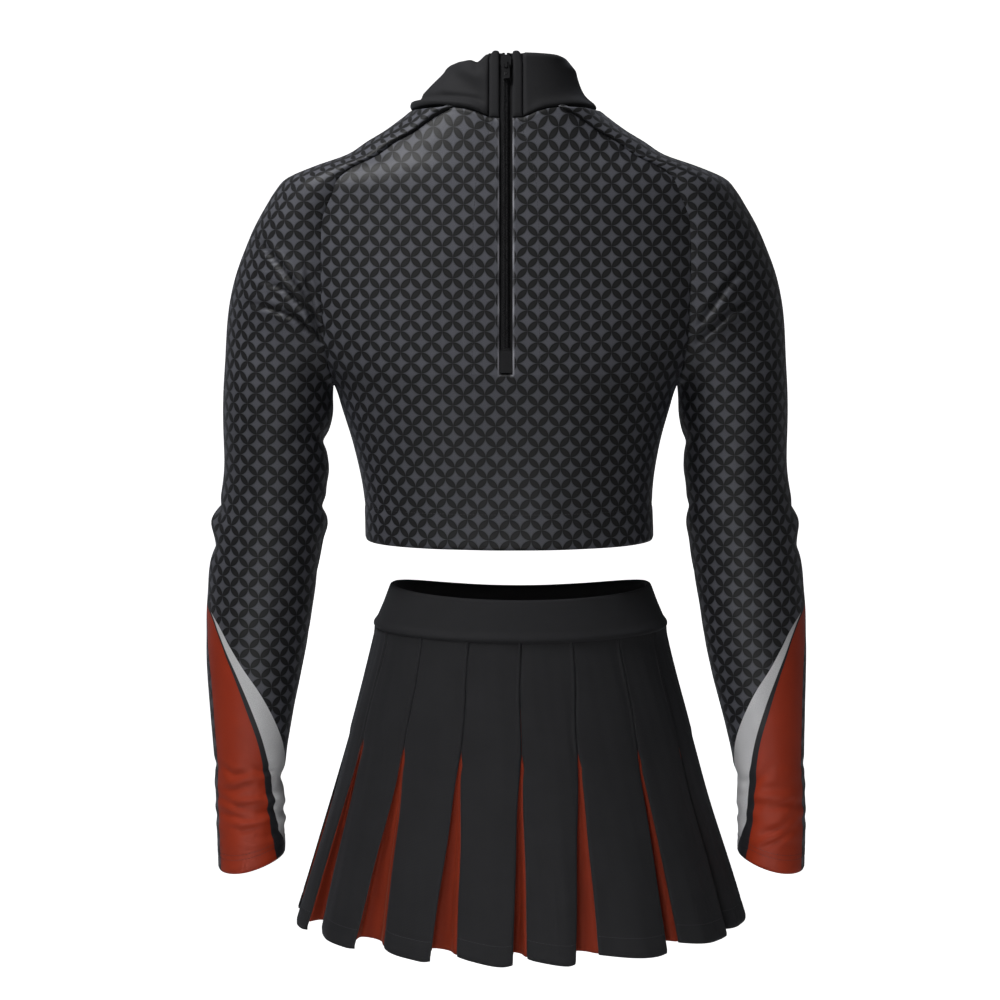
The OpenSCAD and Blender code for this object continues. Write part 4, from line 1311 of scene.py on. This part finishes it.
teeth, teeth_in, teeth_out = new_tree("zip_teeth", [
    ("Start", "NodeSocketVector", None), ("Step", "NodeSocketVector", None),
    ("Count", "NodeSocketInt", 10), ("Size", "NodeSocketVector", None),
    ("Tilt", "NodeSocketFloat", 0.0), ("Material", "NodeSocketMaterial", None)])
line = teeth.nodes.new("GeometryNodeMeshLine")
line.mode = "OFFSET"
tooth = teeth.nodes.new("GeometryNodeMeshUVSphere")
tooth.inputs["Segments"].default_value = 10
tooth.inputs["Rings"].default_value = 7
tooth.inputs["Radius"].default_value = 0.5
lean = teeth.nodes.new("ShaderNodeCombineXYZ")
placed = teeth.nodes.new("GeometryNodeInstanceOnPoints")
teeth.links.new(teeth_in.outputs["Count"], line.inputs["Count"])
teeth.links.new(teeth_in.outputs["Start"], line.inputs["Start Location"])
teeth.links.new(teeth_in.outputs["Step"], line.inputs["Offset"])
teeth.links.new(teeth_in.outputs["Tilt"], lean.inputs["X"])
teeth.links.new(line.outputs[0], placed.inputs["Points"])
teeth.links.new(tooth.outputs[0], placed.inputs["Instance"])
teeth.links.new(lean.outputs[0], placed.inputs["Rotation"])
teeth.links.new(teeth_in.outputs["Size"], placed.inputs["Scale"])
close_tree(teeth, teeth_in, placed.outputs[0], teeth_out)


# %% The two coils
def on_zip(x, out, up):
    """A place in the zip's own frame: across, out of the back and up the zip, in metres."""
    c, t = math.cos(ZIP_TILT), math.sin(ZIP_TILT)
    return Vector((x, -NECK_BACK - out * c + up * t, out * t + up * c)) * MM


TOOTH_STEP = 1.25
COIL_LOW = -ZIP_DROP / math.cos(ZIP_TILT) + 21.6
COIL_HIGH = 44.0
for side, sign in (("left", -1), ("right", 1)):
    first = COIL_LOW + (TOOTH_STEP / 2 if sign > 0 else 0)
    count = int((COIL_HIGH - first) / TOOTH_STEP)
    step_along = on_zip(0, 0, TOOTH_STEP) - on_zip(0, 0, 0)
    coil = grown(f"{side}_coil_teeth", bpy.data.meshes.new("seed"), teeth, {
        "Start": tuple(on_zip(sign * 1.05, -1.35, first)), "Step": tuple(step_along), "Count": count,
        "Size": (3.5 * MM, 2.0 * MM, 1.0 * MM), "Tilt": -ZIP_TILT, "Material": coil_nylon})
    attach(coil, "top")
    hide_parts(f"{side}_zip_coil")
    print(coil.name, count, "teeth")

# %% Finishes of the solid pieces
FINISHES = {"left_zip_tape": woven_tape, "right_zip_tape": woven_tape, "left_top_stop": black_lacquer,
            "right_top_stop": black_lacquer, "zip_bottom_stop": black_lacquer, "zip_slider": black_lacquer,
            "zip_pull_tab": black_lacquer, "zip_stay_patch": plain_black}
for node, material in FINISHES.items():
    for slot_here in bpy.data.objects[node].material_slots:
        slot_here.material = material
    print(node, material.name)

# %% [markdown]
# ## Thread
# A stitched line is one small thread after another along a path. The paths were noted on the finished
# cloth as each piece was made, so the stitches follow its folds. A second tree turns each path into a
# curve, steps along it by the stitch length and lays a slim rounded thread at each step.

# %% The tree for stitches
stitches, stitches_in, stitches_out = new_tree("stitch_row", [
    ("Stitch", "NodeSocketFloat", 2.6 * MM), ("Thread", "NodeSocketFloat", 0.35 * MM),
    ("Material", "NodeSocketMaterial", None)])
to_curve = stitches.nodes.new("GeometryNodeMeshToCurve")
points = stitches.nodes.new("GeometryNodeCurveToPoints")
points.mode = "LENGTH"
bead = stitches.nodes.new("GeometryNodeMeshIcoSphere")
bead.inputs["Radius"].default_value = 0.5
bead.inputs["Subdivisions"].default_value = 2
size = stitches.nodes.new("ShaderNodeCombineXYZ")
laid = stitches.nodes.new("GeometryNodeInstanceOnPoints")
stitches.links.new(stitches_in.outputs["Geometry"], to_curve.inputs[0])
stitches.links.new(to_curve.outputs[0], points.inputs["Curve"])
stitches.links.new(stitches_in.outputs["Stitch"], points.inputs["Length"])
stitches.links.new(stitches_in.outputs["Thread"], size.inputs["X"])
stitches.links.new(stitches_in.outputs["Thread"], size.inputs["Y"])
long_thread = math_node(stitches, "MULTIPLY", stitches_in.outputs["Stitch"], 0.78)
stitches.links.new(long_thread, size.inputs["Z"])
stitches.links.new(points.outputs["Points"], laid.inputs["Points"])
stitches.links.new(points.outputs["Rotation"], laid.inputs["Rotation"])
stitches.links.new(bead.outputs[0], laid.inputs["Instance"])
stitches.links.new(size.outputs[0], laid.inputs["Scale"])
close_tree(stitches, stitches_in, laid.outputs[0], stitches_out)


# %% Stitching every noted path
def path_mesh(paths):
    mesh = bpy.data.meshes.new("paths")
    verts, edges = [], []
    for path in paths:
        first = len(verts)
        verts += [tuple(p) for p in np.asarray(path) * MM]
        edges += [(i, i + 1) for i in range(first, len(verts) - 1)]
    mesh.from_pydata(verts, edges, [])
    return mesh


for body, paths in THREAD.items():
    sewing = grown(f"{body}_stitching", path_mesh(paths), stitches,
                   {"Stitch": 2.6 * MM, "Thread": 0.38 * MM, "Material": thread_black})
    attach(sewing, body)
    print(sewing.name, len(paths), "paths", len(sewing.data.polygons), "faces")

# %% [markdown]
# ## The stage
# A soft light close above the left shoulder, a weak one low in front of the skirt and a weaker fill from
# the right, before a sweep of paper that is white for the camera alone. The camera stands 2.4 m behind
# the wearer's back, a little below the collar.

# %% Camera, lights and floor
def aim(obj, target):
    obj.rotation_euler = (Vector(target) - obj.location).to_track_quat("-Z", "Y").to_euler()


camera = add_object("camera", bpy.data.cameras.new("camera"))
camera.location = (-0.005, -2.4, -0.048)
camera.rotation_euler = (math.radians(90 - 6.9), 0, 0)
camera.data.lens = 99.3
camera.data.sensor_width = 36
bpy.context.scene.camera = camera


def soft_light(name, place, size, watts, target=(0, 0, -0.3), spread=180):
    light = add_object(name, bpy.data.lights.new(name, "AREA"))
    light.data.shape = "SQUARE"
    light.data.size = size
    light.data.energy = watts
    light.data.spread = math.radians(spread)
    light.location = place
    aim(light, target)


soft_light("key", (-0.5, -0.5, 0.75), 0.42, 12.5, target=(-0.12, 0, -0.12))
soft_light("skirt_light", (-0.25, -1.6, -0.95), 0.6, 1.0, target=(0.02, 0, -0.8), spread=50)
soft_light("fill", (1.7, -2.0, 0.2), 1.4, 1.3)

world = bpy.data.worlds.new("studio")
world.use_nodes = True
around_all = world.node_tree.nodes["Background"]
around_all.inputs["Color"].default_value = (1, 1, 1, 1)
around_all.inputs["Strength"].default_value = 0.1
bpy.context.scene.world = world
bpy.context.scene.view_settings.view_transform = "Standard"

FLOOR_Z = -1.25
BEND_Y, BEND_R = 2.0, 1.5               # where the paper starts to curve up, and how widely
profile = [(-4.0, FLOOR_Z), (BEND_Y, FLOOR_Z)]
profile += [(BEND_Y + BEND_R * math.sin(a), FLOOR_Z + BEND_R * (1 - math.cos(a)))
            for a in np.radians(np.linspace(7.5, 90, 12))]
profile += [(BEND_Y + BEND_R, 5.0)]
sweep = bpy.data.meshes.new("studio_sweep")
verts = [(x, py, pz) for py, pz in profile for x in (-6.0, 6.0)]
sweep.from_pydata(verts, [], [(2 * i, 2 * i + 1, 2 * i + 3, 2 * i + 2) for i in range(len(profile) - 1)])
floor = add_object("studio_sweep", sweep)
for face in sweep.polygons:
    face.use_smooth = True
paper = bpy.data.materials.new("pale_paper")
paper.use_nodes = True
surface = paper.node_tree.nodes["Principled BSDF"]
surface.inputs["Base Color"].default_value = (0.95, 0.95, 0.95, 1)
surface.inputs["Roughness"].default_value = 0.9
# The paper is as bright as a separately lit backdrop, without throwing that light back on the cloth.
seen = paper.node_tree.nodes.new("ShaderNodeLightPath")
surface.inputs["Emission Color"].default_value = (1, 1, 1, 1)
paper.node_tree.links.new(seen.outputs["Is Camera Ray"], surface.inputs["Emission Strength"])
sweep.materials.append(paper)
